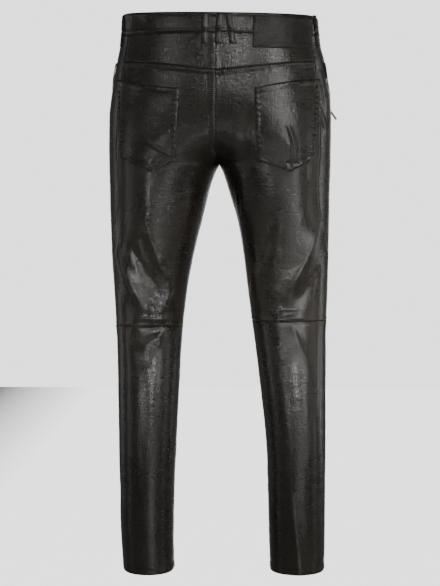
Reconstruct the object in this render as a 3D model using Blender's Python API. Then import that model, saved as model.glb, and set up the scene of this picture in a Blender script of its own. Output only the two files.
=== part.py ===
"""Slim tapered trousers of coated denim, filled out as on a figure with nobody in them.

The frame: +Z is up, the wearer faces +Y, so the seat faces -Y, and the wearer's right is +X. The origin is the
middle of the waist, halfway up the waistband, where the garment is held. Blender works in metres; the tables
below are in centimetres, as a pattern is drafted, and CM turns them into metres.

The cloth follows one form. At each height the form of a leg is an oval lobe; above the crotch the two lobes
slide together and are cut at the middle plane, which gives the seat seam, the front seam and the crotch curve.
A place on the form has a height and an angle round its lobe: 0 at the outer side, -90 at the back, 90 at the
front and 180 at the inner side.
"""

import math
from collections import namedtuple

import bmesh
import bpy
from mathutils import Matrix, Vector

CM = 0.01

# ---------------------------------------------------------------- driving sizes, in centimetres
CROTCH = -24.2
HEM = -96.0
BAND_TOP = 1.76
BAND_BOTTOM = -1.74
YOKE_SEAM = -6.4  # at the side seams
YOKE_DIP = 1.7  # how much lower the yoke seam is at the seat seam
YOKE_DIP_END = -14.0  # rows below this height run level again
KNEE_SEAM = -52.1
FRONT_DROP = 2.4  # the waist is this much lower at the middle of the front
FRONT_DROP_END = -15.0
LOBES_PART = -11.0  # the two lobes start to slide apart here, and are whole at the crotch
LOBES_EASE = 1.4
# How much of the dip between the lobes the cloth spans, well over the crotch.
BRIDGE_BACK, BRIDGE_FRONT = 0.65, 0.9
BRIDGE_RISE = 6.5  # and over what height that comes in

# ---------------------------------------------------------------- thicknesses and gaps, in centimetres
SEAM_GAP = 0.03
CLOTH = 0.16
BAND_CLOTH = 0.26
ON_CLOTH = 0.08  # a piece sewn on top stands this far off the round form, which keeps flat facets apart
PATCH_CLOTH = 0.15
LOOP_CLOTH = 0.16

LEFT, RIGHT = -1, 1
SIDE_NAME = {LEFT: "left", RIGHT: "right"}

Section = namedtuple(
    "Section",
    "height left_outer left_inner right_inner right_outer back front corner side_seam",
)
# From the waist down. The outer and inner columns are distances from the middle plane, back and front are depths
# from the plane through both side points, corner is the oval's exponent and side_seam the seam's angle.
SECTIONS = [
    Section(3.0, 17.05, 0.00, 0.00, 17.00, 11.0, 10.4, 2.30, -28),
    Section(0.0, 17.15, 0.00, 0.00, 17.38, 11.2, 10.6, 2.30, -28),
    Section(-3.6, 17.50, 0.00, 0.00, 17.75, 11.8, 11.0, 2.30, -28),
    Section(-6.4, 18.05, 0.00, 0.00, 18.50, 12.3, 11.3, 2.30, -28),
    Section(-9.6, 18.60, 0.00, 0.00, 18.85, 12.9, 11.5, 2.30, -28),
    Section(-12.4, 18.97, 0.00, 0.00, 19.40, 13.3, 11.5, 2.30, -29),
    Section(-15.3, 19.30, 0.00, 0.00, 19.60, 13.4, 11.3, 2.30, -30),
    Section(-19.6, 19.38, 0.00, 0.00, 19.62, 13.0, 10.9, 2.25, -34),
    Section(-24.2, 19.40, 0.00, 0.00, 19.55, 11.95, 10.45, 2.20, -39),
    Section(-25.6, 19.38, 0.68, 0.62, 19.52, 11.7, 10.35, 2.20, -40),
    Section(-28.1, 19.34, 1.60, 1.45, 19.45, 11.2, 10.2, 2.15, -42),
    Section(-33.8, 19.30, 3.05, 3.15, 19.38, 9.9, 9.4, 2.10, -35),
    Section(-39.5, 19.10, 4.46, 4.19, 19.26, 8.4, 8.6, 2.10, -15),
    Section(-45.2, 18.78, 5.61, 4.87, 19.12, 7.1, 7.7, 2.10, -2),
    Section(-50.9, 18.52, 6.32, 5.62, 18.94, 6.2, 6.9, 2.10, 4),
    Section(-56.6, 18.19, 6.81, 6.38, 18.84, 6.6, 5.9, 2.10, 5),
    Section(-65.1, 17.94, 7.20, 7.47, 18.82, 7.3, 4.7, 2.10, 6),
    Section(-73.7, 17.82, 7.62, 8.36, 18.84, 7.3, 3.9, 2.10, 6),
    Section(-82.2, 17.65, 7.98, 8.65, 18.78, 7.0, 3.5, 2.10, 5),
    Section(-90.8, 17.48, 8.12, 8.86, 18.74, 6.8, 3.4, 2.10, 4),
    Section(-96.4, 17.05, 8.00, 9.08, 18.66, 6.8, 3.4, 2.10, 4),
]

Fold = namedtuple("Fold", "face x0 z0 x1 z1 width rise")
# The largest folds, each a soft ridge, or a trough where its rise is negative, seen straight from the back or the
# front. It runs from (x0, z0) to (x1, z1); width is its half width and rise its height at the middle.
FOLDS = [
    # left leg, back
    Fold("back", -17.2, -39.6, -14.4, -43.9, 1.4, 0.60),
    Fold("back", -14.4, -43.9, -11.6, -49.4, 1.4, 0.55),
    Fold("back", -16.4, -43.5, -13.6, -49.0, 1.1, -0.30),
    Fold("back", -11.2, -36.5, -9.0, -45.5, 1.2, 0.35),
    Fold("back", -13.0, -37.5, -11.2, -44.5, 1.1, -0.30),
    Fold("back", -14.5, -51.3, -8.6, -51.5, 0.9, 0.35),
    Fold("back", -9.2, -53.9, -13.0, -57.0, 1.0, 0.28),
    Fold("back", -15.2, -54.6, -12.4, -60.0, 1.2, -0.25),
    Fold("back", -11.8, -27.0, -11.6, -36.0, 1.6, 0.25),
    Fold("back", -5.0, -30.0, -4.9, -37.0, 1.1, 0.22),
    # right leg, back
    Fold("back", 17.6, -34.6, 15.6, -40.4, 1.4, 0.55),
    Fold("back", 15.6, -40.4, 12.4, -46.6, 1.4, 0.60),
    Fold("back", 17.6, -41.0, 14.6, -47.4, 1.1, -0.30),
    Fold("back", 7.0, -39.6, 6.1, -47.6, 1.0, 0.32),
    Fold("back", 10.2, -32.4, 7.4, -41.6, 1.4, -0.35),
    Fold("back", 10.6, -50.9, 15.2, -50.6, 0.9, 0.35),
    Fold("back", 12.6, -53.2, 14.6, -57.4, 1.0, 0.28),
    Fold("back", 5.4, -15.0, 4.6, -24.0, 1.3, -0.30),
    Fold("back", 4.3, -27.0, 4.9, -33.5, 1.1, 0.25),
    # the fronts, unseen, get folds of the same kinds
    Fold("front", -2.2, -21.0, -7.6, -17.4, 1.2, 0.30),
    Fold("front", -3.0, -25.0, -9.4, -22.6, 1.3, 0.28),
    Fold("front", 2.2, -21.4, 7.2, -18.2, 1.2, 0.30),
    Fold("front", 3.2, -25.4, 9.0, -23.4, 1.3, 0.26),
    Fold("front", -16.6, -47.6, -9.6, -50.4, 1.2, 0.35),
    Fold("front", -8.4, -52.0, -14.6, -55.4, 1.2, 0.32),
    Fold("front", 7.6, -46.8, 15.0, -49.6, 1.2, 0.35),
    Fold("front", 17.0, -51.4, 10.2, -55.0, 1.2, 0.32),
    Fold("front", 10.4, -84.6, 16.4, -86.4, 1.1, 0.22),
    Fold("front", -16.0, -85.2, -9.8, -86.0, 1.1, 0.22),
]

# Heights of the mesh rows that every leg panel shares. They are close together under and over the crotch.
YOKE_ROWS = [-3.3, -4.9]
SEAT_ROWS = [-9.1, -11.6, -14.2, -16.3, -18.2, -19.9, -21.4, -22.6, -23.5, -24.0]
THIGH_ROWS = [-24.2, -24.6, -25.4, -26.6, -28.2, -30.0, -31.8, -33.6, -35.4, -37.2]
LOWER_THIGH_ROWS = [-39.0, -40.7, -42.4, -44.1, -45.8, -47.4, -48.9, -50.3, -51.5]
CALF_ROWS = [-53.8, -55.2, -56.8, -58.6, -60.8, -63.2, -66.0, -69.2]
CALF_ROWS += [-72.8, -76.6, -80.4, -84.0, -87.4, -90.6, -93.6]

BACK_COLUMNS = 14
CALF_COLUMNS = 12
FRONT_COLUMNS = 12
YOKE_COLUMNS = 14
BAND_COLUMNS = 60


# ---------------------------------------------------------------- materials
def material(name, colour, roughness, metallic=0.0):
    made = bpy.data.materials.new(name)
    made.use_nodes = True
    shader = made.node_tree.nodes["Principled BSDF"]
    shader.inputs["Base Color"].default_value = (*colour, 1.0)
    shader.inputs["Roughness"].default_value = roughness
    shader.inputs["Metallic"].default_value = metallic
    return made


# ---------------------------------------------------------------- the form
def ease(t):
    """0 to 1 with level ends."""
    t = min(max(t, 0.0), 1.0)
    return t * t * (3 - 2 * t)


def slope(rows, i, column):
    """The slope of a column at row i, from the rows on either side of it."""
    first = rows[max(i - 1, 0)]
    last = rows[min(i + 1, len(rows) - 1)]
    return (getattr(last, column) - getattr(first, column)) / (last.height - first.height)


def form_size(column, height):
    """A column of SECTIONS at any height, on a smooth curve through its rows."""
    height = min(max(height, SECTIONS[-1].height), SECTIONS[0].height)
    i = next(k for k in range(len(SECTIONS) - 1) if SECTIONS[k + 1].height <= height)
    above, below = SECTIONS[i], SECTIONS[i + 1]
    span = below.height - above.height
    t = (height - above.height) / span
    start, end = getattr(above, column), getattr(below, column)
    start_slope = slope(SECTIONS, i, column) * span
    end_slope = slope(SECTIONS, i + 1, column) * span
    return (
        (2 * t**3 - 3 * t**2 + 1) * start
        + (t**3 - 2 * t**2 + t) * start_slope
        + (3 * t**2 - 2 * t**3) * end
        + (t**3 - t**2) * end_slope
    )


Lobe = namedtuple("Lobe", "middle half_width depth_middle half_depth corner share")


def lobe(side, height):
    """The oval of one leg at a height. Its share is how far the two ovals have parted, 1 from the crotch down."""
    outer = form_size(SIDE_NAME[side] + "_outer", height)
    back, front = form_size("back", height), form_size("front", height)
    corner = form_size("corner", height)
    if height > CROTCH:
        parted = max((LOBES_PART - height) / (LOBES_PART - CROTCH), 0.0)
        share = ease(parted**LOBES_EASE)
        half_width = outer / (1 + share)
        middle = half_width * share
    else:
        share = 1.0
        inner = form_size(SIDE_NAME[side] + "_inner", height)
        half_width = (outer - inner) / 2
        middle = (outer + inner) / 2
    return Lobe(middle, half_width, (front - back) / 2, (front + back) / 2, corner, share)


def rounded(value, corner):
    return math.copysign(abs(value) ** (2 / corner), value)


def form_point(side, height, angle):
    """The place on the smooth form, in centimetres. Half a seam's gap keeps it off the middle plane."""
    o = lobe(side, height)
    x = o.middle + o.half_width * rounded(math.cos(math.radians(angle)), o.corner)
    depth = rounded(math.sin(math.radians(angle)), o.corner)
    if height > CROTCH and abs(angle) > 90:
        spanned = (BRIDGE_BACK if angle < 0 else BRIDGE_FRONT) * ease((height - CROTCH) / BRIDGE_RISE)
        depth = math.copysign(abs(depth) + (1 - abs(depth)) * spanned, angle)
    y = o.depth_middle + o.half_depth * depth
    return Vector((side * (x + SEAM_GAP / 2), y, height))


def form_normal(side, height, angle):
    """Outward, square to the form."""
    turn, step = 1.5, 0.05
    round_it = form_point(side, height, angle + turn) - form_point(side, height, angle - turn)
    down_it = form_point(side, height - step, angle) - form_point(side, height + step, angle)
    return round_it.cross(down_it).normalized() * -side


def fold_rise(point, normal):
    """How far the folds move a place outwards."""
    rise = 0.0
    for fold in FOLDS:
        facing = -normal.y if fold.face == "back" else normal.y
        if facing <= 0.0 or fold.x0 * point.x < 0.0:
            continue
        start = Vector((fold.x0, fold.z0))
        run = Vector((fold.x1, fold.z1)) - start
        here = Vector((point.x, point.z)) - start
        t = min(max(here.dot(run) / run.length_squared, 0.0), 1.0)
        off = (here - run * t).length / fold.width
        ends = math.sin(math.pi * (0.15 + 0.7 * t))
        rise += fold.rise * ends * math.exp(-off * off) * ease(facing * 1.6)
    return rise


def cloth_place(side, height, angle):
    """A place on the cloth's outer face and the way that it faces, in centimetres."""
    point = form_point(side, height, angle)
    normal = form_normal(side, height, angle)
    seat = ease((abs(point.x) - SEAM_GAP) / 2.5)  # folds die out at the middle seams
    return point + normal * fold_rise(point, normal) * seat, normal


def middle_angle(side, height):
    """How far round its lobe the cloth reaches to meet the middle plane or, on the leg, the inseam."""
    o = lobe(side, height)
    return 90 + math.degrees(math.asin(min(o.share ** (o.corner / 2), 1.0)))


def half_gap_angle(side, height, angle):
    """Half a seam's gap as an angle round the lobe."""
    o = lobe(side, height)
    turn = math.radians(angle)
    reach = math.hypot(o.half_width * math.sin(turn), o.half_depth * math.cos(turn))
    return math.degrees(SEAM_GAP / 2 / reach)


def across_back(side, height, share):
    """The angle at a share of the way from the seat seam or inseam, 0, to the side seam, 1."""
    start, end = -middle_angle(side, height), form_size("side_seam", height)
    if height <= CROTCH:
        start += half_gap_angle(side, height, start)
    end -= half_gap_angle(side, height, end)
    return start + (end - start) * share


def across_front(side, height, share):
    start, end = middle_angle(side, height), form_size("side_seam", height)
    if height <= CROTCH:
        start -= half_gap_angle(side, height, start)
    end += half_gap_angle(side, height, end)
    return start + (end - start) * share


def back_height(side, row, share):
    """A row's height on the back: rows bow down with the yoke seam, and the knee seam is higher on the right."""
    if row >= YOKE_SEAM:
        dip = (BAND_BOTTOM - row) / (BAND_BOTTOM - YOKE_SEAM)
    else:
        dip = (row - YOKE_DIP_END) / (YOKE_SEAM - YOKE_DIP_END)
    return row - YOKE_DIP * min(max(dip, 0.0), 1.0) * (1 - share) ** 1.6 + knee_lift(side, row)


def front_height(side, row, share):
    """A row's height on the front: rows follow the lower waist."""
    drop = ease((row - FRONT_DROP_END) / (BAND_BOTTOM - FRONT_DROP_END))
    return row - FRONT_DROP * drop * ease(1 - share) + knee_lift(side, row)


def knee_lift(side, row):
    reach, lift = 7.0, 0.45
    return side * lift * ease(1 - abs(row - KNEE_SEAM) / reach)


# ---------------------------------------------------------------- solids from rows of places
def add_object(name, mesh_data, look):
    mesh = bpy.data.meshes.new(name)
    mesh_data.to_mesh(mesh)
    mesh_data.free()
    mesh.shade_smooth()
    mesh.set_sharp_from_angle(angle=math.radians(40))
    mesh.materials.append(look)
    made = bpy.data.objects.new(name, mesh)
    bpy.context.scene.collection.objects.link(made)
    return made


def wall(name, rows, look, outside, inside, closed=False):
    """A cloth wall as one closed solid. rows holds (place, normal) pairs, and outside and inside are how far its two
    faces stand off them, in centimetres. A closed wall joins its last column to its first."""
    build = bmesh.new()
    faces = []
    for offset in (outside, inside):
        faces.append([[build.verts.new((p + n * offset) * CM) for p, n in row] for row in rows])
    outer, inner = faces
    count = len(rows[0])
    spans = range(count) if closed else range(count - 1)

    def quad(a, b, c, d):
        build.faces.new((a, b, c))
        build.faces.new((a, c, d))

    for i in range(len(rows) - 1):
        for j in spans:
            k = (j + 1) % count
            quad(outer[i][j], outer[i + 1][j], outer[i + 1][k], outer[i][k])
            build.faces.new((inner[i][j], inner[i + 1][k], inner[i + 1][j]))
            build.faces.new((inner[i][j], inner[i][k], inner[i + 1][k]))
    for j in spans:
        k = (j + 1) % count
        quad(outer[0][j], outer[0][k], inner[0][k], inner[0][j])
        quad(outer[-1][k], outer[-1][j], inner[-1][j], inner[-1][k])
    if not closed:
        for i in range(len(rows) - 1):
            quad(outer[i + 1][0], outer[i][0], inner[i][0], inner[i + 1][0])
            quad(outer[i][-1], outer[i + 1][-1], inner[i + 1][-1], inner[i][-1])
    bmesh.ops.recalc_face_normals(build, faces=build.faces)
    return add_object(name, build, look)


def panel(name, side, rows, columns, across, height_of, look, thickness=CLOTH):
    """A leg panel. Its first and last rows are seams, so they stop half a gap short of their heights."""
    gap = SEAM_GAP / 2
    places = []
    for i, row in enumerate(rows):
        nudge = -gap if i == 0 else gap if i == len(rows) - 1 else 0.0
        line = []
        for j in range(columns + 1):
            share = j / columns
            height = height_of(side, row, share) + nudge
            line.append(cloth_place(side, height, across(side, height, share)))
        places.append(line)
    return wall(name, places, look, 0.0, -thickness)


# ---------------------------------------------------------------- cloth pieces
def make_waistband(look):
    """One long strip from the front opening round the back to the front opening."""
    places = []
    for row, nudge in ((BAND_TOP, 0.0), ((BAND_TOP + BAND_BOTTOM) / 2, 0.0), (BAND_BOTTOM, SEAM_GAP / 2)):
        line = []
        for j in range(BAND_COLUMNS + 1):
            turn = 90 - 360 * j / BAND_COLUMNS  # from the front by the wearer's right, the back and the left
            side = RIGHT if turn > -90 else LEFT
            angle = turn if side == RIGHT else -180 - turn
            seam = form_size("side_seam", row)
            share = (90 - angle) / (90 - seam) if angle > seam else 1.0
            height = front_height(side, BAND_BOTTOM, share) + row - BAND_BOTTOM + nudge
            line.append(cloth_place(side, height, angle))
        places.append(line)
    return wall("waistband", places, look, 0.0, -BAND_CLOTH)


def make_yoke(side, look):
    rows = [BAND_BOTTOM, *YOKE_ROWS, YOKE_SEAM]
    return panel("yoke_" + SIDE_NAME[side], side, rows, YOKE_COLUMNS, across_back, back_height, look)


def make_back(side, look):
    """The seat and the back of the thigh, from the yoke seam to the knee seam."""
    rows = [YOKE_SEAM, *SEAT_ROWS, *THIGH_ROWS, *LOWER_THIGH_ROWS, KNEE_SEAM]
    return panel("back_" + SIDE_NAME[side], side, rows, BACK_COLUMNS, across_back, back_height, look)


def make_calf(side, look):
    rows = [KNEE_SEAM, *CALF_ROWS, HEM]
    return panel("calf_back_" + SIDE_NAME[side], side, rows, CALF_COLUMNS, across_back, back_height, look)


def make_front(side, look):
    rows = [
        BAND_BOTTOM,
        *YOKE_ROWS,
        YOKE_SEAM,
        *SEAT_ROWS,
        *THIGH_ROWS,
        *LOWER_THIGH_ROWS,
        KNEE_SEAM,
        *CALF_ROWS,
        HEM,
    ]
    return panel("front_" + SIDE_NAME[side], side, rows, FRONT_COLUMNS, across_front, front_height, look)


def back_angle(side, x, height):
    """The angle at which the back of the form is this far from the middle plane."""
    o = lobe(side, height)
    reach = min(max((x - o.middle) / o.half_width, -1.0), 1.0)
    return -math.degrees(math.acos(rounded(reach, 4 / o.corner)))


def place_on_back(x, height):
    side = RIGHT if x > 0 else LEFT
    return cloth_place(side, height, back_angle(side, abs(x), height))


def place_on_front(x, height):
    side = RIGHT if x > 0 else LEFT
    return cloth_place(side, height, -back_angle(side, abs(x), height))


# What bends a flat piece's edges: its lower edge comes down to a tip at a share of its width, and its top bows.
Edges = namedtuple("Edges", "tip tip_at top_bow", defaults=(0.0, 0.5, 0.0))


def sewn_on(name, corners, columns, rows, place, look, thickness, edges=Edges()):
    """A flat piece on the cloth. corners are (x, z) seen straight on: top inner, top outer, bottom outer and
    bottom inner."""
    top_inner, top_outer, bottom_outer, bottom_inner = (Vector(c) for c in corners)
    tip_column = round(columns * edges.tip_at)
    places = []
    for i in range(rows + 1):
        t = i / rows
        line = []
        for j in range(columns + 1):
            if j <= tip_column:
                u = edges.tip_at * j / tip_column
                peak = j / tip_column
            else:
                peak = (columns - j) / (columns - tip_column)
                u = 1 - (1 - edges.tip_at) * peak
            top = top_inner.lerp(top_outer, u)
            top.y += edges.top_bow * 4 * u * (1 - u)
            bottom = bottom_inner.lerp(bottom_outer, u)
            bottom.y -= edges.tip * peak
            at = top.lerp(bottom, t)
            line.append(place(at.x, at.y))
        places.append(line)
    return wall(name, places, look, ON_CLOTH + thickness, ON_CLOTH)


POCKET_CORNERS = [(6.4, -11.2), (17.4, -9.5), (16.8, -22.9), (7.0, -23.5)]
POCKET_EDGES = {LEFT: Edges(2.3, 0.40, -0.25), RIGHT: Edges(2.3, 0.58, 0.22)}
PATCH_CORNERS = [(6.1, 1.2), (16.2, 1.2), (16.2, -4.4), (6.1, -4.4)]


def make_back_pocket(side, look):
    name = "back_pocket_" + SIDE_NAME[side]
    corners = [(side * x, z) for x, z in POCKET_CORNERS]
    return sewn_on(name, corners, 10, 10, place_on_back, look, PATCH_CLOTH, POCKET_EDGES[side])


def make_back_patch(look):
    """The bare leather patch on the waistband and yoke, on the wearer's right."""
    return sewn_on("back_patch", PATCH_CORNERS, 9, 4, place_on_back, look, PATCH_CLOTH)


LOOP_TOP, LOOP_BOTTOM = 1.6, -3.75
BackLoop = namedtuple("BackLoop", "name top bottom width")
BACK_LOOPS = [
    BackLoop("belt_loop_back_left", -2.10, -2.10, 1.2),
    BackLoop("belt_loop_back_middle", 0.56, 0.22, 1.3),
    BackLoop("belt_loop_back_right", 1.96, 2.75, 1.2),
]
SIDE_LOOP_ANGLE = -16.0
SIDE_LOOP_WIDTH = 1.2
FRONT_LOOP_X = 8.2


def make_back_loop(row, look):
    corners = [
        (row.top - row.width / 2, LOOP_TOP),
        (row.top + row.width / 2, LOOP_TOP),
        (row.bottom + row.width / 2, LOOP_BOTTOM),
        (row.bottom - row.width / 2, LOOP_BOTTOM),
    ]
    return sewn_on(row.name, corners, 2, 5, place_on_back, look, LOOP_CLOTH)


def make_side_loop(side, look):
    places = []
    steps = 5
    for i in range(steps + 1):
        height = LOOP_TOP + (LOOP_BOTTOM - LOOP_TOP) * i / steps
        half_turn = half_gap_angle(side, height, SIDE_LOOP_ANGLE) * SIDE_LOOP_WIDTH / SEAM_GAP
        turns = [SIDE_LOOP_ANGLE + half_turn * k for k in (-1, 0, 1)]
        places.append([cloth_place(side, height, turn) for turn in turns])
    return wall("belt_loop_side_" + SIDE_NAME[side], places, look, ON_CLOTH + LOOP_CLOTH, ON_CLOTH)


def make_front_loop(side, look):
    drop = 1.5  # the waist is this much lower here
    half = 0.6
    x = side * FRONT_LOOP_X
    top, bottom = LOOP_TOP - drop, LOOP_BOTTOM - drop
    corners = [(x - half, top), (x + half, top), (x + half, bottom), (x - half, bottom)]
    return sewn_on("belt_loop_front_" + SIDE_NAME[side], corners, 2, 5, place_on_front, look, LOOP_CLOTH)


FLY_LENGTH = 11.5
FLY_WIDTH = 3.6


def make_fly_shield(look):
    """The strip behind the front opening. It lies inside the fronts and runs from the waistband down."""
    places = []
    steps = 8
    top = BAND_BOTTOM - FRONT_DROP - 0.4
    bottom = top - FLY_LENGTH
    for i in range(steps + 1):
        height = top + (bottom - top) * i / steps
        half = FLY_WIDTH / 2
        places.append([place_on_front(x, height) for x in (half, half / 2, 0.001, -half / 2, -half)])
    inside = -CLOTH - ON_CLOTH
    return wall("fly_shield", places, look, inside, inside - 0.12)


# ---------------------------------------------------------------- hard pieces
def metal_disc(name, centre, facing, radius, thickness, look):
    """A waist button: a domed disc on a short shank that reaches down to the cloth."""
    build = bmesh.new()
    profile = [
        (0.0, thickness),
        (0.72 * radius, thickness),
        (radius, 0.72 * thickness),
        (radius, 0.38 * thickness),
        (0.45 * radius, 0.30 * thickness),
        (0.45 * radius, 0.0),
        (0.0, 0.0),
    ]
    verts = [build.verts.new((r, 0, z)) for r, z in profile]
    edges = [build.edges.new(pair) for pair in zip(verts, verts[1:])]
    bmesh.ops.spin(build, geom=verts + edges, axis=(0, 0, 1), cent=(0, 0, 0), steps=20, angle=2 * math.pi)
    bmesh.ops.remove_doubles(build, verts=build.verts, dist=1e-5)
    bmesh.ops.recalc_face_normals(build, faces=build.faces)
    turn = Vector((0, 0, 1)).rotation_difference(facing)
    build.transform(Matrix.Translation(centre) @ turn.to_matrix().to_4x4() @ Matrix.Scale(CM, 4))
    return add_object(name, build, look)


def make_waist_button(look):
    height = (BAND_TOP + BAND_BOTTOM) / 2 - FRONT_DROP
    place, normal = place_on_front(-1.6, height)
    metal_disc("waist_button", (place + normal * 0.04) * CM, normal, 0.85, 0.42, look)


def slab(build, low, high):
    """A box between two corners."""
    low, high = Vector(low), Vector(high)
    middle, size = (low + high) / 2, high - low
    place = Matrix.Translation(middle) @ Matrix.Diagonal((*size, 1.0))
    bmesh.ops.create_cube(build, size=1.0, matrix=place)


def prism(build, outline, low, high):
    """An outline of (x, z) points carried from one y to another."""
    ends = [[build.verts.new((x, y, z)) for x, z in outline] for y in (low, high)]
    count = len(outline)
    build.faces.new(ends[0])
    build.faces.new(reversed(ends[1]))
    for j in range(count):
        k = (j + 1) % count
        build.faces.new((ends[0][j], ends[1][j], ends[1][k], ends[0][k]))


# The pocket zip's slider in its own frame, in centimetres: x straight out from the tape, y along the tape's width,
# z up. The pull tab turns on its cross bar, which passes under the slider's bridge.
ZIP_TOP, ZIP_BOTTOM = -6.6, -17.0
ZIP_TOP_ANGLE, ZIP_BOTTOM_ANGLE = -9.0, 20.0
TAPE_STEPS = 10
TAPE_WIDTH = 1.3
TAPE_CLOTH = 0.10
SLIDER_HEIGHT = {LEFT: -16.3, RIGHT: -15.0}
SLIDER_HALF_WIDTH = 0.36
SLIDER_HALF_LENGTH = 0.50
SLIDER_THICK = 0.20
BAR_RADIUS = 0.055
BRIDGE_CLEAR = 0.10  # from the cross bar's axis to the bridge
BRIDGE_THICK = 0.08
BRIDGE_HALF_WIDTH = 0.09
TAB_ARM_INNER = 0.14
TAB_ARM_OUTER = 0.26
TAB_EYE = 0.24  # from the bar's axis to the end of the eye
# Places along the tab and its half widths there: waisted behind a wider, rounded end.
TAB_OUTLINE = [(TAB_EYE, 0.26), (0.60, 0.22), (1.00, 0.24), (1.35, 0.28), (1.52, 0.22), (1.62, 0.10)]
TAB_HALF_THICK = 0.14
ARM_HALF_THICK = 0.07
TAB_DOWN = {LEFT: 74.0, RIGHT: 54.0}  # how far each tab hangs down from straight out, in degrees


def slider_frame(side):
    """Where the slider sits on the tape's outer face, in centimetres, and the level way straight out from it."""
    height = SLIDER_HEIGHT[side]
    share = (height - ZIP_TOP) / (ZIP_BOTTOM - ZIP_TOP)
    angle = ZIP_TOP_ANGLE + (ZIP_BOTTOM_ANGLE - ZIP_TOP_ANGLE) * share
    place, normal = cloth_place(side, height, angle)
    return place + normal * (ON_CLOTH + TAPE_CLOTH), Vector((normal.x, normal.y, 0)).normalized()


def tab_axis(side):
    """The middle of the pull tab's cross bar, in centimetres, and the level way straight out there."""
    base, out = slider_frame(side)
    return base + out * (2 * SEAM_GAP + SLIDER_THICK + BRIDGE_CLEAR + BAR_RADIUS), out


def make_zip_tape(side, look):
    """The closed tape and teeth of a hip pocket's zip, on the front panel close to the side."""
    places = []
    for i in range(TAPE_STEPS + 1):
        t = i / TAPE_STEPS
        height = ZIP_TOP + (ZIP_BOTTOM - ZIP_TOP) * t
        angle = ZIP_TOP_ANGLE + (ZIP_BOTTOM_ANGLE - ZIP_TOP_ANGLE) * t
        half_turn = half_gap_angle(side, height, angle) * TAPE_WIDTH / SEAM_GAP
        places.append([cloth_place(side, height, angle + half_turn * k) for k in (-1, 0, 1)])
    return wall("zip_tape_" + SIDE_NAME[side], places, look, ON_CLOTH + TAPE_CLOTH, ON_CLOTH)


def joined(name, shapes, place, out, tilt, look):
    """Overlapping shapes as one solid, by Boolean unions. Their common frame stands at a place, in centimetres, with
    x facing out and turned down by the tilt, in degrees."""
    whole, *others = shapes
    for one in shapes:
        one.location = place * CM
        one.rotation_euler = (0.0, math.radians(tilt), math.atan2(out.y, out.x))
    for other in others:
        other.hide_render = True
        other.display_type = "WIRE"
        union = whole.modifiers.new("join", "BOOLEAN")
        union.operation = "UNION"
        union.object = other
    whole.name = name
    whole.data.materials.clear()
    whole.data.materials.append(look)
    return whole


def shape(make, *arguments):
    """A helper object from one bmesh maker."""
    build = bmesh.new()
    make(build, *arguments)
    bmesh.ops.recalc_face_normals(build, faces=build.faces)
    build.transform(Matrix.Scale(CM, 4))
    return add_object("shape", build, None)


def make_slider(side, look):
    low = 2 * SEAM_GAP
    top = low + SLIDER_THICK
    inner = BRIDGE_CLEAR + BAR_RADIUS
    outer = inner + BRIDGE_THICK
    axis = top + inner
    body = shape(
        slab,
        (low, -SLIDER_HALF_WIDTH, -SLIDER_HALF_LENGTH),
        (top, SLIDER_HALF_WIDTH, SLIDER_HALF_LENGTH),
    )
    arch = [(top - 0.05, -outer), (axis, -outer)]
    arch += [(axis + outer * math.sin(a), -outer * math.cos(a)) for a in arc_steps()]
    arch += [(axis, outer), (top - 0.05, outer), (top - 0.05, inner), (axis, inner)]
    arch += [(axis + inner * math.sin(a), inner * math.cos(a)) for a in arc_steps()]
    arch += [(axis, -inner), (top - 0.05, -inner)]
    bridge = shape(prism, arch, -BRIDGE_HALF_WIDTH, BRIDGE_HALF_WIDTH)
    base, out = slider_frame(side)
    return joined("zip_slider_" + SIDE_NAME[side], [body, bridge], base, out, 0.0, look)


def arc_steps():
    return [math.pi * k / 6 for k in range(1, 6)]


def make_pull_tab(side, look):
    """The tab in its own frame: its cross bar lies along y at the origin, and it points out along x."""
    bar = shape(prism, circle_outline(BAR_RADIUS, 8), -TAB_ARM_OUTER, TAB_ARM_OUTER)
    arms = [
        shape(
            slab,
            (-BAR_RADIUS * 0.6, low, -ARM_HALF_THICK),
            (TAB_EYE + 0.1, high, ARM_HALF_THICK),
        )
        for low, high in ((-TAB_ARM_OUTER, -TAB_ARM_INNER), (TAB_ARM_INNER, TAB_ARM_OUTER))
    ]
    blade = shape(blade_shape)
    place, out = tab_axis(side)
    return joined("pull_tab_" + SIDE_NAME[side], [blade, bar, *arms], place, out, TAB_DOWN[side], look)


def circle_outline(radius, count):
    turns = [2 * math.pi * k / count for k in range(count)]
    return [(radius * math.cos(turn), radius * math.sin(turn)) for turn in turns]


def blade_shape(build):
    """The flat of the tab."""
    outline = TAB_OUTLINE + [(x, -y) for x, y in reversed(TAB_OUTLINE)]
    lower = [build.verts.new((x, y, -TAB_HALF_THICK)) for x, y in outline]
    upper = [build.verts.new((x, y, TAB_HALF_THICK)) for x, y in outline]
    build.faces.new(lower)
    build.faces.new(reversed(upper))
    for j in range(len(outline)):
        k = (j + 1) % len(outline)
        build.faces.new((lower[j], upper[j], upper[k], lower[k]))


# ---------------------------------------------------------------- the whole garment
def clear_scene():
    for old in list(bpy.data.objects):
        bpy.data.objects.remove(old, do_unlink=True)


def main():
    clear_scene()
    cloth = material("coated denim", (0.018, 0.016, 0.014), 0.38)
    leather = material("patch leather", (0.020, 0.014, 0.012), 0.42)
    tape = material("zip tape", (0.012, 0.012, 0.012), 0.8)
    metal = material("dark nickel", (0.55, 0.53, 0.50), 0.3, metallic=1.0)

    make_waistband(cloth)
    for side in (LEFT, RIGHT):
        make_yoke(side, cloth)
        make_back(side, cloth)
        make_calf(side, cloth)
        make_front(side, cloth)
        make_back_pocket(side, cloth)
        make_side_loop(side, cloth)
        make_front_loop(side, cloth)
        make_zip_tape(side, tape)
        make_slider(side, metal)
        make_pull_tab(side, metal)
    for row in BACK_LOOPS:
        make_back_loop(row, cloth)
    make_back_patch(leather)
    make_fly_shield(cloth)
    make_waist_button(metal)


main()
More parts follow.
